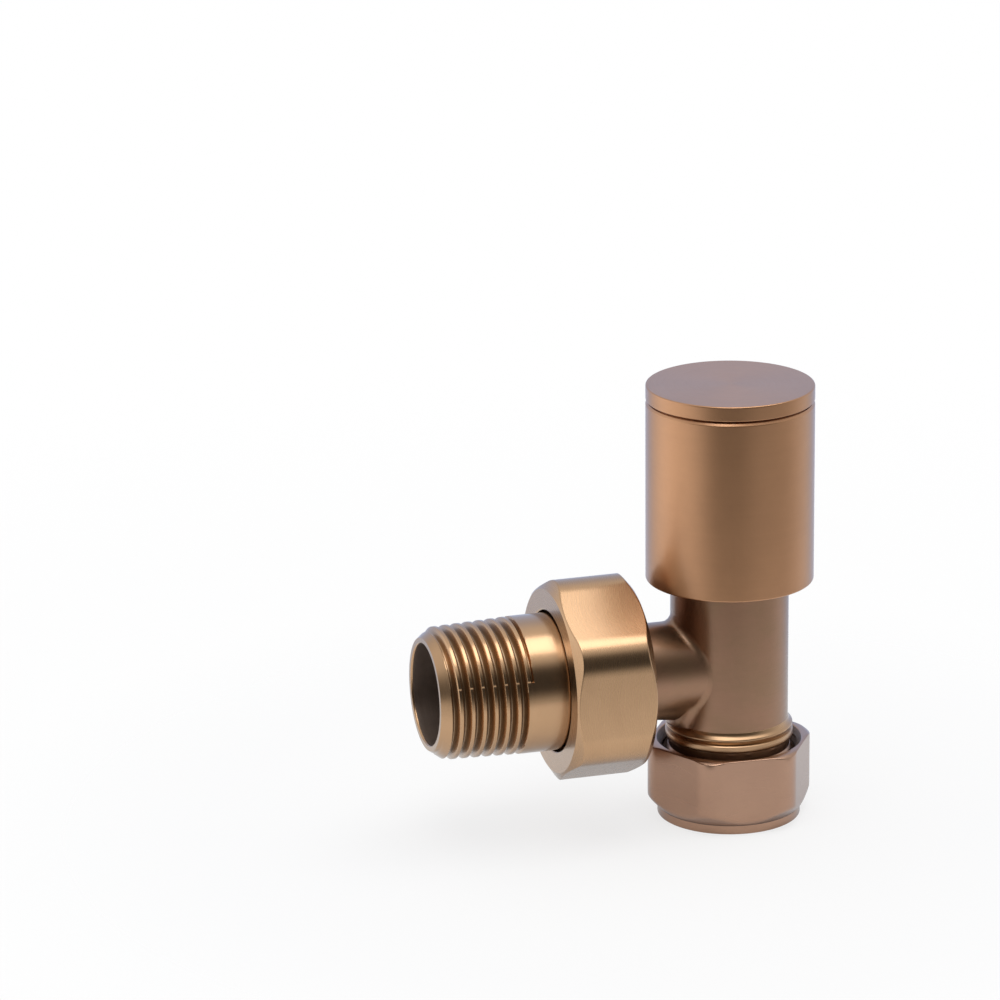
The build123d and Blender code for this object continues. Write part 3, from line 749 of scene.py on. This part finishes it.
class VALVE_OT_finishes(Operator):
    """Make the bronze, brass, rubber, plastic and steel finishes"""

    bl_idname = "valve.finishes"
    bl_label = "Make finishes"

    # Share of the mouth's bevel that gets no groove colour (oxide and painted shade)
    bright_bevel = 0.8

    def execute(self, context):
        finish = context.scene.valve_finish
        tail = context.scene.valve_union_tail
        glance = finish.bronze_glance
        bronze = (finish.bronze, finish.bronze_shade, glance)
        gold = (finish.gold, finish.gold_shade, glance)
        dusky = (finish.dusky, finish.dusky_shade, glance)
        forged = (finish.forged, finish.forged_shade, glance)
        brass = (finish.brass, finish.brass_shade, finish.brass_glance)
        # The bore's dull tone, which also serves as painted shade inside the pipe nut
        dull = (finish.bore, darker(finish.bore, 0.5), glance)
        steel = (finish.steel, darker(finish.steel, 0.75), finish.steel_glance)
        plain_end = -nut_low.x + tail.plain_length
        # Where the tail's thread gets its groove colour: partly oxide, partly painted shade
        thread = {
            "Crest": tail.plain_radius + plain_end * tail.taper,
            "Taper": tail.taper,
            "Depth": tail.depth,
            "Mouth": -tail_low.x - self.bright_bevel * tail.mouth_bevel,
        }
        dark = {"rough": (0.38, 0.6), "mark_depth": 0.9, "cloud": 0.4, "speckle": 0.7}
        dark.update(coat=0.0, metallic=0.5)
        looks = {
            "bronze_knob": (bronze, 12000.0, 1.6, {"rough": (0.33, 0.39)}),
            "bronze_pipe_nut": (dusky, 7000.0, 1.2, {"rough": (0.27, 0.31), "mark_depth": 0.015}),
            "bronze_body": (
                forged,
                7000.0,
                3.0,
                {"rough": (0.34, 0.44), "grain": 4000.0, "grain_depth": 0.06, "coat": 0.6},
            ),
            # The threads take the darker dusky tone as painted shade, as the inlet's thread lies in shadow
            # above the pipe nut
            "bronze_thread_painted_shade": (dusky, 9000.0, 1.2, {"rough": (0.24, 0.32), "mark_depth": 0.03}),
            "bronze_bands": (gold, 9000.0, 1.2, {"rough": (0.26, 0.32), "mark_depth": 0.03}),
            "bronze_union_nut": (
                gold,
                7000.0,
                1.2,
                {"about_branch": True, "rough": (0.255, 0.285), "mark_depth": 0.006},
            ),
            "bronze_tail": (
                gold,
                10000.0,
                1.6,
                {"about_branch": True, "rough": (0.21, 0.27), "thread": thread, "oxide_and_shade_tone": finish.groove},
            ),
            "bronze_bore": (dull, 3000.0, 1.2, {"about_branch": True, **dark}),
            # Painted shade: the pipe nut's inner faces take the dark bore tone
            "bronze_hollow_painted_shade": (dull, 3000.0, 1.2, dark),
            "brass_turned": (brass, 7000.0, 2.0, {"rough": (0.2, 0.34), "coat": 0.0}),
            "steel_plated": (steel, 6000.0, 3.0, {"rough": (0.22, 0.38), "coat": 0.0}),
        }
        for name, (tones, lines, stretch, rest) in looks.items():
            metal_finish(name, *tones, lines=lines, stretch=stretch, **rest)
        dull_finish("rubber_seal", finish.rubber, (0.5, 0.7), grain=6000.0, grain_depth=0.2, specular=0.4)
        dull_finish("plastic_hub", finish.plastic, (0.38, 0.55), grain=3500.0, grain_depth=0.25, specular=0.5)
        return {"FINISHED"}


class VALVE_OT_union_tail(Operator):
    """Make the hollow tail with its tapered, helical thread"""

    bl_idname = "valve.union_tail"
    bl_label = "Make union tail"

    # Small lengths at the edges
    edge_easing = 0.0002
    groove_easing = 0.0001
    bevel_easing = 0.00012
    lead_in = 0.0006
    lug_rise = 0.0001
    finish_edge = 0.00002

    # The mouth's inner edge: how far in, and how much wider than the bore
    mouth_edge = ((0.0, 0.00018), (0.00012, 0.00005), (0.0003, 0.0))
    mouth_length = 0.001
    bore_rows = 8

    # Angles of the burr along the seam and of a lug's flank
    burr_half = 0.013
    burr_foot = 0.03
    burr_clearance = 0.034
    lug_flank = 0.02

    # The burr stands where the groove is shallower than this share
    burr_depth = 0.35

    spots = thread_spots((0.0, 0.05, 0.09, 0.12, 0.16, 0.21, 0.27, 0.33, 0.38, 0.42, 0.46))

    def execute(self, context):
        size = context.scene.valve_union_tail
        mouth = -tail_low.x
        plain_end = -nut_low.x + size.plain_length
        angle = self.angles_round_seam(size.seam_turn)
        blocks = [
            self.spigot(size, plain_end - self.lead_in, len(angle)),
            self.thread(size, plain_end, mouth, angle),
            *self.bore(size, mouth, angle),
        ]
        inner = ("bronze_bore", size.bore_radius + self.finish_edge, 0.0)
        turned_piece(
            "union_tail_threaded", branch_axis, blocks, "bronze_tail", "tail", "union_tail", angle, inner
        )
        return {"FINISHED"}

    def angles_round_seam(self, seam):
        """Even steps round the tail, with closer ones at the burr along the seam."""
        close = np.array((-self.burr_foot, -self.burr_half, 0.0, self.burr_half, self.burr_foot))
        even = angles(TAIL_STEPS)
        even = even[off_nearest(even, seam) > self.burr_clearance]
        return np.sort(np.concatenate([even, (seam + close) % FULL_TURN]))

    def spigot(self, size, end, steps):
        """The end inside the body with its seal's groove, the collar and the plain part."""
        start = -tail_high.x
        collar_radius = tail_high.y
        collar_back = start + size.spigot_length
        collar_front = collar_back + size.collar_thickness
        groove_front = collar_back - (size.spigot_length - size.ring_groove) / 2
        groove_back = groove_front - size.ring_groove
        profile = [
            (start, size.inner_radius, self.edge_easing),
            (start, size.spigot_radius, self.edge_easing),
            (groove_back, size.spigot_radius, self.groove_easing),
            (groove_back, size.ring_floor, self.groove_easing),
            (groove_front, size.ring_floor, self.groove_easing),
            (groove_front, size.spigot_radius, self.groove_easing),
            (collar_back, size.spigot_radius, 0),
            (collar_back, collar_radius, self.edge_easing),
            (collar_front, collar_radius, self.edge_easing),
            (collar_front, size.plain_radius, 0),
            (end, size.plain_radius, 0),
        ]
        return plain_rings(eased(profile)[:-1], steps)

    def thread(self, size, plain_end, mouth, angle):
        """The tapered thread from its run-out to the bevel at the mouth."""
        along, phase, climb = helix_rows(plain_end - self.lead_in, mouth, size.pitch, self.spots, angle)
        crest = size.plain_radius - np.clip(along - plain_end, 0, None) * size.taper
        past_seam = (angle - size.seam_turn) % FULL_TURN / FULL_TURN
        begin = plain_end + size.thread_begin + size.thread_step * past_seam
        cut_share = np.clip((along - begin) / size.runout, 0, 1)
        groove = groove_share(phase, size.pitch, size.crest_land, size.root_land)
        threaded = crest - size.depth * cut_share * groove
        near_seam = np.clip(1 - off_nearest(angle, size.seam_turn) / self.burr_half, 0, 1)
        threaded += size.seam_height * near_seam * (groove < self.burr_depth) * cut_share
        rim = size.bore_radius + size.mouth_land
        last_crest = size.plain_radius - (mouth - plain_end) * size.taper
        bevel = bevel_reach(mouth - along, rim, last_crest, size.mouth_bevel)
        return along, soft_min(threaded, bevel, self.bevel_easing), climb

    def bore(self, size, mouth, angle):
        """The bore with its two key lugs, and the cone to its narrow part."""
        bore_end = mouth - size.bore_depth
        lug_end = bore_end + size.lug_length
        edge_in, edge_out = np.array(self.mouth_edge).T
        into = np.concatenate(
            [
                mouth - edge_in,
                np.linspace(mouth - self.mouth_length, lug_end + 2 * self.lug_rise, self.bore_rows),
                [lug_end, lug_end - self.lug_rise, bore_end + self.lug_rise],
            ]
        )
        wall = np.full(len(into), size.bore_radius)
        wall[: len(edge_out)] += edge_out
        half_lug = size.lug_width / 2 / size.bore_radius
        across = np.clip((half_lug - off_nearest(angle, size.lug_turn, math.pi)) / self.lug_flank + 0.5, 0, 1)
        down = np.clip((lug_end - into) / self.lug_rise, 0, 1)
        bore = wall[:, None] - size.lug_height * down[:, None] * across[None, :]
        cone = [(bore_end - (size.bore_radius - size.inner_radius), size.inner_radius)]
        return full_rings(into, bore), plain_rings(cone, len(angle))


class VALVE_OT_union_nut(Operator):
    """Make the large nut on the branch, with eased bevels and its inner thread"""

    bl_idname = "valve.union_nut"
    bl_label = "Make union nut"

    # Small lengths at the edges
    bevel_easing = 0.00016
    face_inset = 0.0004
    thread_gap = 0.0001

    # The hole's edge: how far in from the front, and how much wider than the hole
    hole_edge = ((0.0, 0.0003), (0.00003, 0.00015), (0.00012, 0.00003), (0.0003, 0.0))

    # The mouth's edge: how far in from the back, and how much wider than the thread
    mouth_edge = ((0.0003, 0.0002), (0.0, 0.0005))
    mouth_length = 0.0004

    # The closer rows reach past each bevel by this factor, and how many rows each stretch has
    past_bevel = 1.15
    row_counts = (20, 10, 20)

    def execute(self, context):
        size = context.scene.valve_union_nut
        angle = angles(NUT_STEPS)
        front = -nut_low.x
        back = -nut_high.x
        shoulder = front - size.shoulder
        reach = hexagon_reach(angle, size.half_flats, size.corner_radius, 0)
        corner = reach.max()
        back_end = back + self.past_bevel * size.back_bevel
        front_end = front - self.past_bevel * size.front_bevel
        outer = stretches([back, back_end, front_end, front], self.row_counts)
        back_cone = bevel_reach(outer - back, size.back_radius, corner, size.back_bevel)
        front_cone = bevel_reach(front - outer, size.front_radius, corner, size.front_bevel)
        cone = np.minimum(back_cone, front_cone)
        facets = soft_min(reach[None, :], cone[:, None], self.bevel_easing)
        face = [
            (front, size.front_radius - self.face_inset),
            *[(front - deep, size.hole_radius + out) for deep, out in self.hole_edge],
            (shoulder, size.hole_radius),
            (shoulder, size.bore_radius),
        ]
        depth = np.arange(shoulder - self.thread_gap, back + self.mouth_length, -NUT_THREAD_ROW)
        ends = np.clip((shoulder - NUT_THREAD_FADE - depth) / NUT_THREAD_FADE, 0, 1)
        mouth = [(back + deep, size.bore_radius + out) for deep, out in self.mouth_edge]
        blocks = [
            full_rings(outer, facets),
            plain_rings(face, NUT_STEPS),
            nut_thread(size, depth, angle, ends),
            plain_rings(mouth, NUT_STEPS),
        ]
        turned_piece("union_nut_eased", branch_axis, blocks, "bronze_union_nut", "union_nut", "union_nut")
        return {"FINISHED"}


class VALVE_OT_compression_nut(Operator):
    """Make the small nut at the pipe, with its turned foot and inner thread"""

    bl_idname = "valve.compression_nut"
    bl_label = "Make compression nut"

    # Small lengths at the edges
    pipe_edge = 0.0003
    skirt_easing = 0.00022
    bevel_easing = 0.00014
    mouth_edge = 0.0001
    thread_gap = 0.001

    # The closer rows reach past each bevel by these factors, and how many rows each stretch has
    past_skirt = 1.1
    past_top = 1.15
    row_counts = (26, 10, 9, 7)

    def execute(self, context):
        size = context.scene.valve_compression_nut
        angle = angles(NUT_STEPS)
        top = foot_high.z
        reach = hexagon_reach(angle, size.half_flats, size.corner_radius, size.turn)
        corner = reach.max()
        skirt_top = size.skirt_height
        foot = [
            (0, size.pipe_radius + self.pipe_edge, 0),
            (0, size.skirt_radius, self.skirt_easing),
            (skirt_top, size.skirt_radius, 0),
        ]
        bevel_top = skirt_top + self.past_skirt * size.skirt_bevel
        bevel_foot = top - self.past_top * size.top_bevel
        places = [skirt_top, bevel_top, bevel_foot, top - size.top_easing, top]
        outer = stretches(places, self.row_counts)
        low_cone = bevel_reach(outer - skirt_top, size.skirt_radius, corner, size.skirt_bevel)
        top_cone = bevel_reach(top - outer, size.top_radius, corner, size.top_bevel)
        facets = soft_min(reach[None, :], low_cone[:, None], size.foot_easing)
        facets = soft_min(facets, top_cone[:, None], self.bevel_easing)
        near_top = np.clip(1 - (top - outer) / size.top_easing, 0, 1)
        facets -= size.top_easing * near_top[:, None] ** 2
        mouth_radius = size.bore_radius + size.mouth_bevel
        mouth_end = top - size.mouth_bevel
        mouth = [
            (top, mouth_radius + self.mouth_edge),
            (top - self.mouth_edge, mouth_radius - self.mouth_edge / 2),
            (mouth_end, size.bore_radius + self.mouth_edge),
        ]
        floor = size.floor + size.olive_cone
        depth = np.arange(mouth_end - self.mouth_edge, floor + self.pipe_edge, -NUT_THREAD_ROW)
        ends = np.clip((depth - floor - self.thread_gap) / NUT_THREAD_FADE, 0, 1)
        inside = [
            (floor, size.bore_radius),
            (floor, size.pipe_radius + size.olive_cone),
            (size.floor, size.pipe_radius),
            (self.pipe_edge, size.pipe_radius),
        ]
        blocks = [
            plain_rings(eased(foot)[:-1], NUT_STEPS),
            full_rings(outer, facets),
            plain_rings(mouth, NUT_STEPS),
            nut_thread(size, depth, angle, ends),
            plain_rings(inside, NUT_STEPS),
        ]
        # Faces inside the mouth get the dark bore tone as painted shade
        turned_piece(
            "compression_nut_eased",
            pipe_axis,
            blocks,
            "bronze_pipe_nut",
            "compression_nut",
            "compression_nut",
            inner=("bronze_hollow_painted_shade", mouth_radius, skirt_top),
        )
        return {"FINISHED"}


class VALVE_OT_knob(Operator):
    """Make the hand wheel's brushed sleeve and its cap"""

    bl_idname = "valve.knob"
    bl_label = "Make hand wheel"

    # Roundings of the edges
    inner_easing = 0.0002
    lip_easing = 0.00008
    lip_edge = 0.00005
    groove_easing = 0.0001
    cap_easing = 0.00018

    # Radius of a ring on the cap's top that keeps its faces even
    cap_ring = 0.4

    def execute(self, context):
        size = context.scene.valve_knob
        outer = sleeve_high.x
        inner = outer - size.wall
        foot, top = sleeve_low.z, sleeve_high.z
        sleeve = [
            (foot, inner, self.inner_easing),
            (foot, outer, size.sleeve_bevel),
            (top - size.lip_height, outer, self.lip_easing),
            (top, outer - size.lip_width, self.lip_edge),
            (top, inner, self.inner_easing),
        ]
        cap_foot = top + size.groove_height
        plug = inner - size.plug_gap
        seat = plug - size.plug_wall
        cap = [
            (cap_foot, 0, 0),
            (cap_foot, seat, 0),
            (hub_high.z, seat, self.inner_easing),
            (hub_high.z, plug, self.inner_easing),
            (top, plug, 0),
            (top, outer - size.groove_depth, self.groove_easing),
            (cap_foot, outer - size.groove_depth, self.groove_easing),
            (cap_foot, outer, self.cap_easing),
            (cap_high.z, outer, size.rim_easing),
            (cap_high.z, self.cap_ring * outer, 0),
            (cap_high.z, 0, 0),
        ]
        for node, profile in (("knob_sleeve", sleeve), ("knob_cap", cap)):
            rings = plain_rings(eased(profile, steps=5), KNOB_STEPS)
            turned_piece(f"{node}_brushed", pipe_axis, [rings], "bronze_knob", "handwheel", node)
        return {"FINISHED"}


class VALVE_OT_body(Operator):
    """Make the forged body with the cut threads that the two nuts turn on"""

    bl_idname = "valve.body"
    bl_label = "Make body"

    # Small lengths: slack round a stretch, gap under the grooves, sleeve's wall and rounding
    slack = 0.0001
    groove_gap = 0.0002
    sleeve_wall = 0.0005
    bevel_easing = 0.0001

    # The lowered foot reaches out this far and fades over this width
    foot_reach = 0.0108
    foot_fade = 0.0007

    # Heights on the foot before it comes down, and how far the bead drops
    bead_height = 0.01545
    narrowed_height = 0.0155
    flare_height = 0.01775
    barrel_height = 0.0195
    bead_drop = 0.0012

    spots = thread_spots((0.0, 0.06, 0.11, 0.16, 0.22, 0.3, 0.37, 0.42, 0.46))

    def execute(self, context):
        size = context.scene.valve_body_threads
        node = frame["nodes"]["valve_body"]
        mesh = node.data.copy()
        mesh.name = "valve_body_forged"
        mesh.transform(node.matrix_world)
        points = np.empty(3 * len(mesh.vertices))
        mesh.vertices.foreach_get("co", points)
        points = points.reshape(-1, 3)
        self.narrow(points, pipe_axis, size.inlet_start, size.inlet_end, size.inlet_radius, size.depth)
        self.narrow(points, branch_axis, size.boss_start, size.boss_end, size.boss_radius, size.depth)
        self.lower_foot(points, size)
        mesh.vertices.foreach_set("co", points.ravel())
        cleaned = bmesh.new()
        cleaned.from_mesh(mesh)
        bmesh.ops.dissolve_degenerate(cleaned, dist=SAME_POINT, edges=cleaned.edges)
        cleaned.to_mesh(mesh)
        cleaned.free()
        mesh.materials.clear()
        mesh.materials.append(finish_called("bronze_body"))
        placed_piece("valve_body_forged", mesh, "valve", "valve_body")
        inlet_end = size.inlet_end - size.foot_drop - size.relief
        self.thread("inlet_thread", pipe_axis, size.inlet_start, inlet_end, size.inlet_radius, size)
        self.thread("boss_thread", branch_axis, size.boss_start, size.boss_end, size.boss_radius, size)
        return {"FINISHED"}

    def narrow(self, points, axis, start, end, radius, depth):
        """Turn a plain stretch of the body down below the thread's grooves."""
        along, off_axis = axis.split(points)
        reach = np.linalg.norm(off_axis, axis=1)
        outer = (along > start - self.slack) & (along < end + self.slack)
        outer &= (reach > radius - depth - self.slack) & (reach < radius + self.slack)
        smaller = (radius - depth - self.groove_gap) / np.maximum(reach, self.slack)
        shift = off_axis * (smaller - 1)[:, None]
        points[outer] += shift[outer]

    def lower_foot(self, points, size):
        """Bring the foot of the barrel down into the turned bands, and the neck's fillet with it."""
        reach = np.hypot(points[:, 0], points[:, 1])
        height = points[:, 2].copy()
        outer = (reach > size.barrel_radius - self.slack) & (reach < self.foot_reach)
        drops = {
            size.inlet_end - self.slack: 0.0,
            size.inlet_end: size.foot_drop,
            self.bead_height: self.bead_drop,
            self.flare_height: size.flare_drop,
            self.barrel_height: 0.0,
        }
        near = np.clip((self.foot_reach - reach) / self.foot_fade, 0, 1) * outer
        points[:, 2] -= np.interp(height, list(drops), list(drops.values())) * near
        flared = outer & (height > size.inlet_end - self.slack / 2) & (height < self.narrowed_height)
        points[flared, :2] *= (size.foot_radius / reach[flared])[:, None]

    def thread(self, name, axis, start, end, radius, size):
        """A right-hand thread with a bevel at each end, on a sleeve that sits in the body."""
        angle = angles(BODY_STEPS)
        along, phase, climb = helix_rows(start, end, size.pitch, self.spots, angle)
        cut = radius - size.depth * groove_share(phase, size.pitch, size.crest_land, size.root_land)
        edge = radius - size.bevel + np.minimum(along - start, end - along)
        cut = soft_min(cut, edge, self.bevel_easing)
        sleeve = radius - size.depth - self.sleeve_wall
        blocks = [
            plain_rings([(start, sleeve)], BODY_STEPS),
            (along, cut, climb),
            plain_rings([(end, sleeve)], BODY_STEPS),
        ]
        # The thread's darker finish is painted shade
        turned_piece(name, axis, blocks, "bronze_thread_painted_shade", "valve", None)


class VALVE_OT_body_bands(Operator):
    """Make the turned bands at the foot of the body, above the compression nut"""

    bl_idname = "valve.body_bands"
    bl_label = "Make body bands"

    # The flare's cove: shares of its height from the top, and of its width
    cove = ((0.0, 0.0), (0.2, 0.07), (0.42, 0.22), (0.62, 0.46), (0.8, 0.84), (0.9, 0.96), (1.0, 1.0))

    # Rounded edges: how far up from the height named, and how far in from the radius
    rim_edge = ((-0.00014, 0.00002), (-0.0003, 0.0001), (-0.00045, 0.00024))
    valley = ((0.0002, 0.0004), (0.00008, 0.00042))
    bead_top_edge = ((0.00003, 0.00015), (-0.0001, 0.00002), (-0.0003, 0.0))
    bead_foot_edge = ((0.0003, 0.0), (0.0001, 0.00002), (-0.00003, 0.00012))

    # Small lengths: wall inside the barrel, start above the flare, skin over the barrel
    wall = 0.0005
    overlap = 0.0003
    skin = 0.00002

    def execute(self, context):
        size = context.scene.valve_bands
        inside = size.barrel_radius - self.wall
        profile = [(size.top + self.overlap, inside)]
        for down, out in self.cove:
            radius = size.barrel_radius + self.skin + out * (size.rim_radius - size.barrel_radius)
            profile.append((size.top + down * (size.rim_middle - size.top), radius))
        for height, radius, edge in (
            (size.rim_middle, size.rim_radius, self.rim_edge),
            (size.bead_top, size.rim_radius, self.valley),
            (size.bead_top, size.bead_radius, self.bead_top_edge),
            (size.bead_foot, size.bead_radius, self.bead_foot_edge),
        ):
            profile += [(height + up, radius - back) for up, back in edge]
        profile.append((profile[-1][0], inside))
        rings = plain_rings(profile, BODY_STEPS)
        turned_piece("body_bands", pipe_axis, [rings], "bronze_bands", "valve", None)
        return {"FINISHED"}


class VALVE_OT_inside(Operator):
    """Give the parts inside their finishes"""

    bl_idname = "valve.inside"
    bl_label = "Finish inner parts"

    finishes = {
        "brass_turned": ("compression_olive", "bonnet", "spindle", "clack", "clack_screw"),
        "rubber_seal": (
            "union_o_ring",
            "bonnet_o_ring",
            "spindle_o_ring_lower",
            "spindle_o_ring_upper",
            "clack_washer",
        ),
        "plastic_hub": ("knob_hub",),
        "steel_plated": ("clack_pin", "knob_washer", "knob_screw"),
    }

    def execute(self, context):
        for finish, nodes in self.finishes.items():
            for node in nodes:
                frame["nodes"][node].material_slots[0].material = finish_called(finish)
        return {"FINISHED"}


def studio_world(scene, settings):
    """White to the camera, and a plain studio with a dark camera side for light and reflections."""
    world = bpy.data.worlds.new("studio")
    scene.world = world
    world.use_nodes = True
    tree = world.node_tree
    tree.nodes.clear()
    towards = add_node(tree, "TexCoord").outputs["Generated"]

    def side(direction, low, high):
        """A soft step from none to all as a ray leans towards a direction."""
        return mapped(tree, vector_calc(tree, "DOT_PRODUCT", towards, direction), low, high)

    def part(value, amount):
        """A part of a value."""
        return calc(tree, "MULTIPLY", value, amount)

    def rest(value):
        """What a share leaves over."""
        return calc(tree, "SUBTRACT", 1.0, value)

    white = (1, 1, 1, 1)
    cool_white = (1.02, 1.14, 1.5, 1)
    facing = Vector((-0.2892, -0.9573, 0))
    leftward = Vector((-0.9573, 0.2892, 0))
    upward = Vector((0, 0, 1))
    left = calc(tree, "POWER", side(leftward + 0.14 * facing, low=0.25, high=0.97), 2.0)
    left = part(left, rest(part(side(-facing, low=0.1, high=0.6), settings.left_trim)))
    right = side(0.2 * facing - leftward, low=0.3, high=0.85)
    back = side(-facing, low=-0.3, high=0.6)
    around = calc(tree, "ADD", settings.ambient, part(back, settings.back_light))
    around = calc(tree, "ADD", around, part(left, settings.left_light))
    around = calc(tree, "ADD", around, part(right, settings.right_light))
    dark = part(side(facing, low=0.25, high=0.7), side(upward, low=-0.2, high=0.12))
    around = part(around, rest(part(dark, settings.dark_side)))
    above = part(side(upward, low=0.6, high=0.9), calc(tree, "SUBTRACT", settings.ceiling, around))
    level = calc(tree, "ADD", around, above)
    to_camera = add_node(tree, "LightPath").outputs["Is Camera Ray"]
    seen = add_node(tree, "Mix", {0: to_camera, 2: level, 3: 1.0}, data_type="FLOAT").outputs[0]
    cool = part(side(-facing, low=0.5, high=0.95), rest(to_camera))
    tint = mixed(tree, cool, white, cool_white)
    background = add_node(tree, "Background", {"Color": tint, "Strength": seen})
    add_node(tree, "OutputWorld", {"Surface": background.outputs[0]})


def floor_material(settings):
    """A pale matt floor that keeps the shadow and fades out towards its edge."""
    material = new_material("pale_floor")
    tree = material.node_tree
    matt = add_node(tree, "BsdfDiffuse", {"Color": (*settings.floor_colour, 1)}).outputs[0]
    glow = add_node(tree, "Emission", {"Color": (1, 1, 1, 1), "Strength": 1.0}).outputs[0]
    rays = add_node(tree, "LightPath").outputs
    mirrored = calc(tree, "MULTIPLY", rays["Is Glossy Ray"], settings.floor_mirrored)
    lit = calc(tree, "MULTIPLY_ADD", rays["Is Camera Ray"], settings.floor_seen, mirrored)
    surface = add_node(tree, "MixShader", {0: lit, 1: matt, 2: glow}).outputs[0]
    reach = vector_calc(tree, "LENGTH", add_node(tree, "TexCoord").outputs["Object"])
    fade = mapped(
        tree, reach, settings.floor_bright, settings.floor_dim, to_high=1 - settings.floor_rest
    )
    edge = mapped(tree, reach, settings.floor_dim, settings.floor_radius, to_high=settings.floor_rest)
    faint = calc(tree, "ADD", fade, edge, use_clamp=True)
    clear = add_node(tree, "BsdfTransparent").outputs[0]
    faded = add_node(tree, "MixShader", {0: faint, 1: surface, 2: clear})
    add_node(tree, "OutputMaterial", {"Surface": faded.outputs[0]})
    return material


class VALVE_OT_stage(Operator):
    """Make the pale floor, the lamp, the surroundings and the camera"""

    bl_idname = "valve.stage"
    bl_label = "Make stage"

    # The lamp: its sides, what it shines on, how far away it is and in which direction
    lamp_sides = (0.8, 0.3)
    lamp_target = (-0.02, 0, 0.03)
    lamp_distance = 0.6
    lamp_direction = (0.1, -0.19, 0.98)

    # The camera: its place, and the directions to its right, up and back
    camera_place = (-0.26889, -0.76768, 0.3063)
    camera_right = (0.95646, -0.29173, -0.00846)
    camera_up = (0.09511, 0.28418, 0.95404)
    camera_back = (-0.27592, -0.91331, 0.29956)

    def execute(self, context):
        settings = context.scene.valve_studio
        scene = context.scene
        scene.view_settings.view_transform = "Standard"
        studio_world(scene, settings)
        mesh = bpy.data.meshes.new("floor")
        disc = bmesh.new()
        bmesh.ops.create_circle(disc, cap_ends=True, segments=96, radius=settings.floor_radius)
        disc.to_mesh(mesh)
        disc.free()
        mesh.materials.append(floor_material(settings))
        floor = bpy.data.objects.new("floor", mesh)
        floor.location.x = settings.floor_shift
        scene.collection.objects.link(floor)

        lamp = bpy.data.lights.new("key_strip", "AREA")
        lamp.shape = "RECTANGLE"
        lamp.size, lamp.size_y = self.lamp_sides
        lamp.energy = settings.key_power
        key = bpy.data.objects.new("key_strip", lamp)
        target = Vector(self.lamp_target)
        key.location = target + self.lamp_distance * Vector(self.lamp_direction).normalized()
        key.rotation_euler = (key.location - target).to_track_quat("Z", "Y").to_euler()
        key.visible_camera = False
        scene.collection.objects.link(key)

        lens = bpy.data.cameras.new("camera")
        lens.sensor_width = 36
        lens.lens = settings.camera_lens
        lens.clip_start = 0.01
        camera = bpy.data.objects.new("camera", lens)
        facing = Matrix((self.camera_right, self.camera_up, self.camera_back)).transposed().to_4x4()
        facing.translation = Vector(self.camera_place)
        camera.matrix_world = facing
        scene.collection.objects.link(camera)
        scene.camera = camera
        return {"FINISHED"}


class VALVE_PT_sidebar(Panel):
    """The valve's pieces, in the order in which they are made"""

    bl_idname = "VALVE_PT_sidebar"
    bl_label = "Angled radiator valve"
    bl_space_type = "VIEW_3D"
    bl_region_type = "UI"
    bl_category = "Valve"

    def draw(self, context):
        for operator in operators:
            self.layout.operator(operator.bl_idname)
        for name in settings_groups:
            group = getattr(context.scene, name)
            box = self.layout.box()
            box.label(text=name.replace("valve_", "").replace("_", " ").capitalize())
            for key in group.__annotations__:
                box.prop(group, key)


operators = (
    VALVE_OT_finishes,
    VALVE_OT_union_tail,
    VALVE_OT_union_nut,
    VALVE_OT_compression_nut,
    VALVE_OT_knob,
    VALVE_OT_body,
    VALVE_OT_body_bands,
    VALVE_OT_inside,
    VALVE_OT_stage,
)

settings_groups = {
    "valve_finish": BronzeFinish,
    "valve_union_tail": UnionTailSizes,
    "valve_union_nut": UnionNutSizes,
    "valve_compression_nut": CompressionNutSizes,
    "valve_knob": KnobSizes,
    "valve_body_threads": BodyThreadSizes,
    "valve_bands": BodyBandSizes,
    "valve_studio": StudioSettings,
}


def register():
    """Add the settings, operators and panel."""
    for name, group in settings_groups.items():
        bpy.utils.register_class(group)
        setattr(bpy.types.Scene, name, PointerProperty(type=group))
    for operator in operators:
        bpy.utils.register_class(operator)
    bpy.utils.register_class(VALVE_PT_sidebar)


def unregister():
    """Take the settings, operators and panel away."""
    bpy.utils.unregister_class(VALVE_PT_sidebar)
    for operator in reversed(operators):
        bpy.utils.unregister_class(operator)
    for name, group in settings_groups.items():
        delattr(bpy.types.Scene, name)
        bpy.utils.unregister_class(group)


def main():
    """Make every piece."""
    register()
    bpy.ops.valve.finishes()
    bpy.ops.valve.union_tail()
    bpy.ops.valve.union_nut()
    bpy.ops.valve.compression_nut()
    bpy.ops.valve.knob()
    bpy.ops.valve.body()
    bpy.ops.valve.body_bands()
    bpy.ops.valve.inside()
    bpy.ops.valve.stage()


if __name__ == "__main__":
    main()
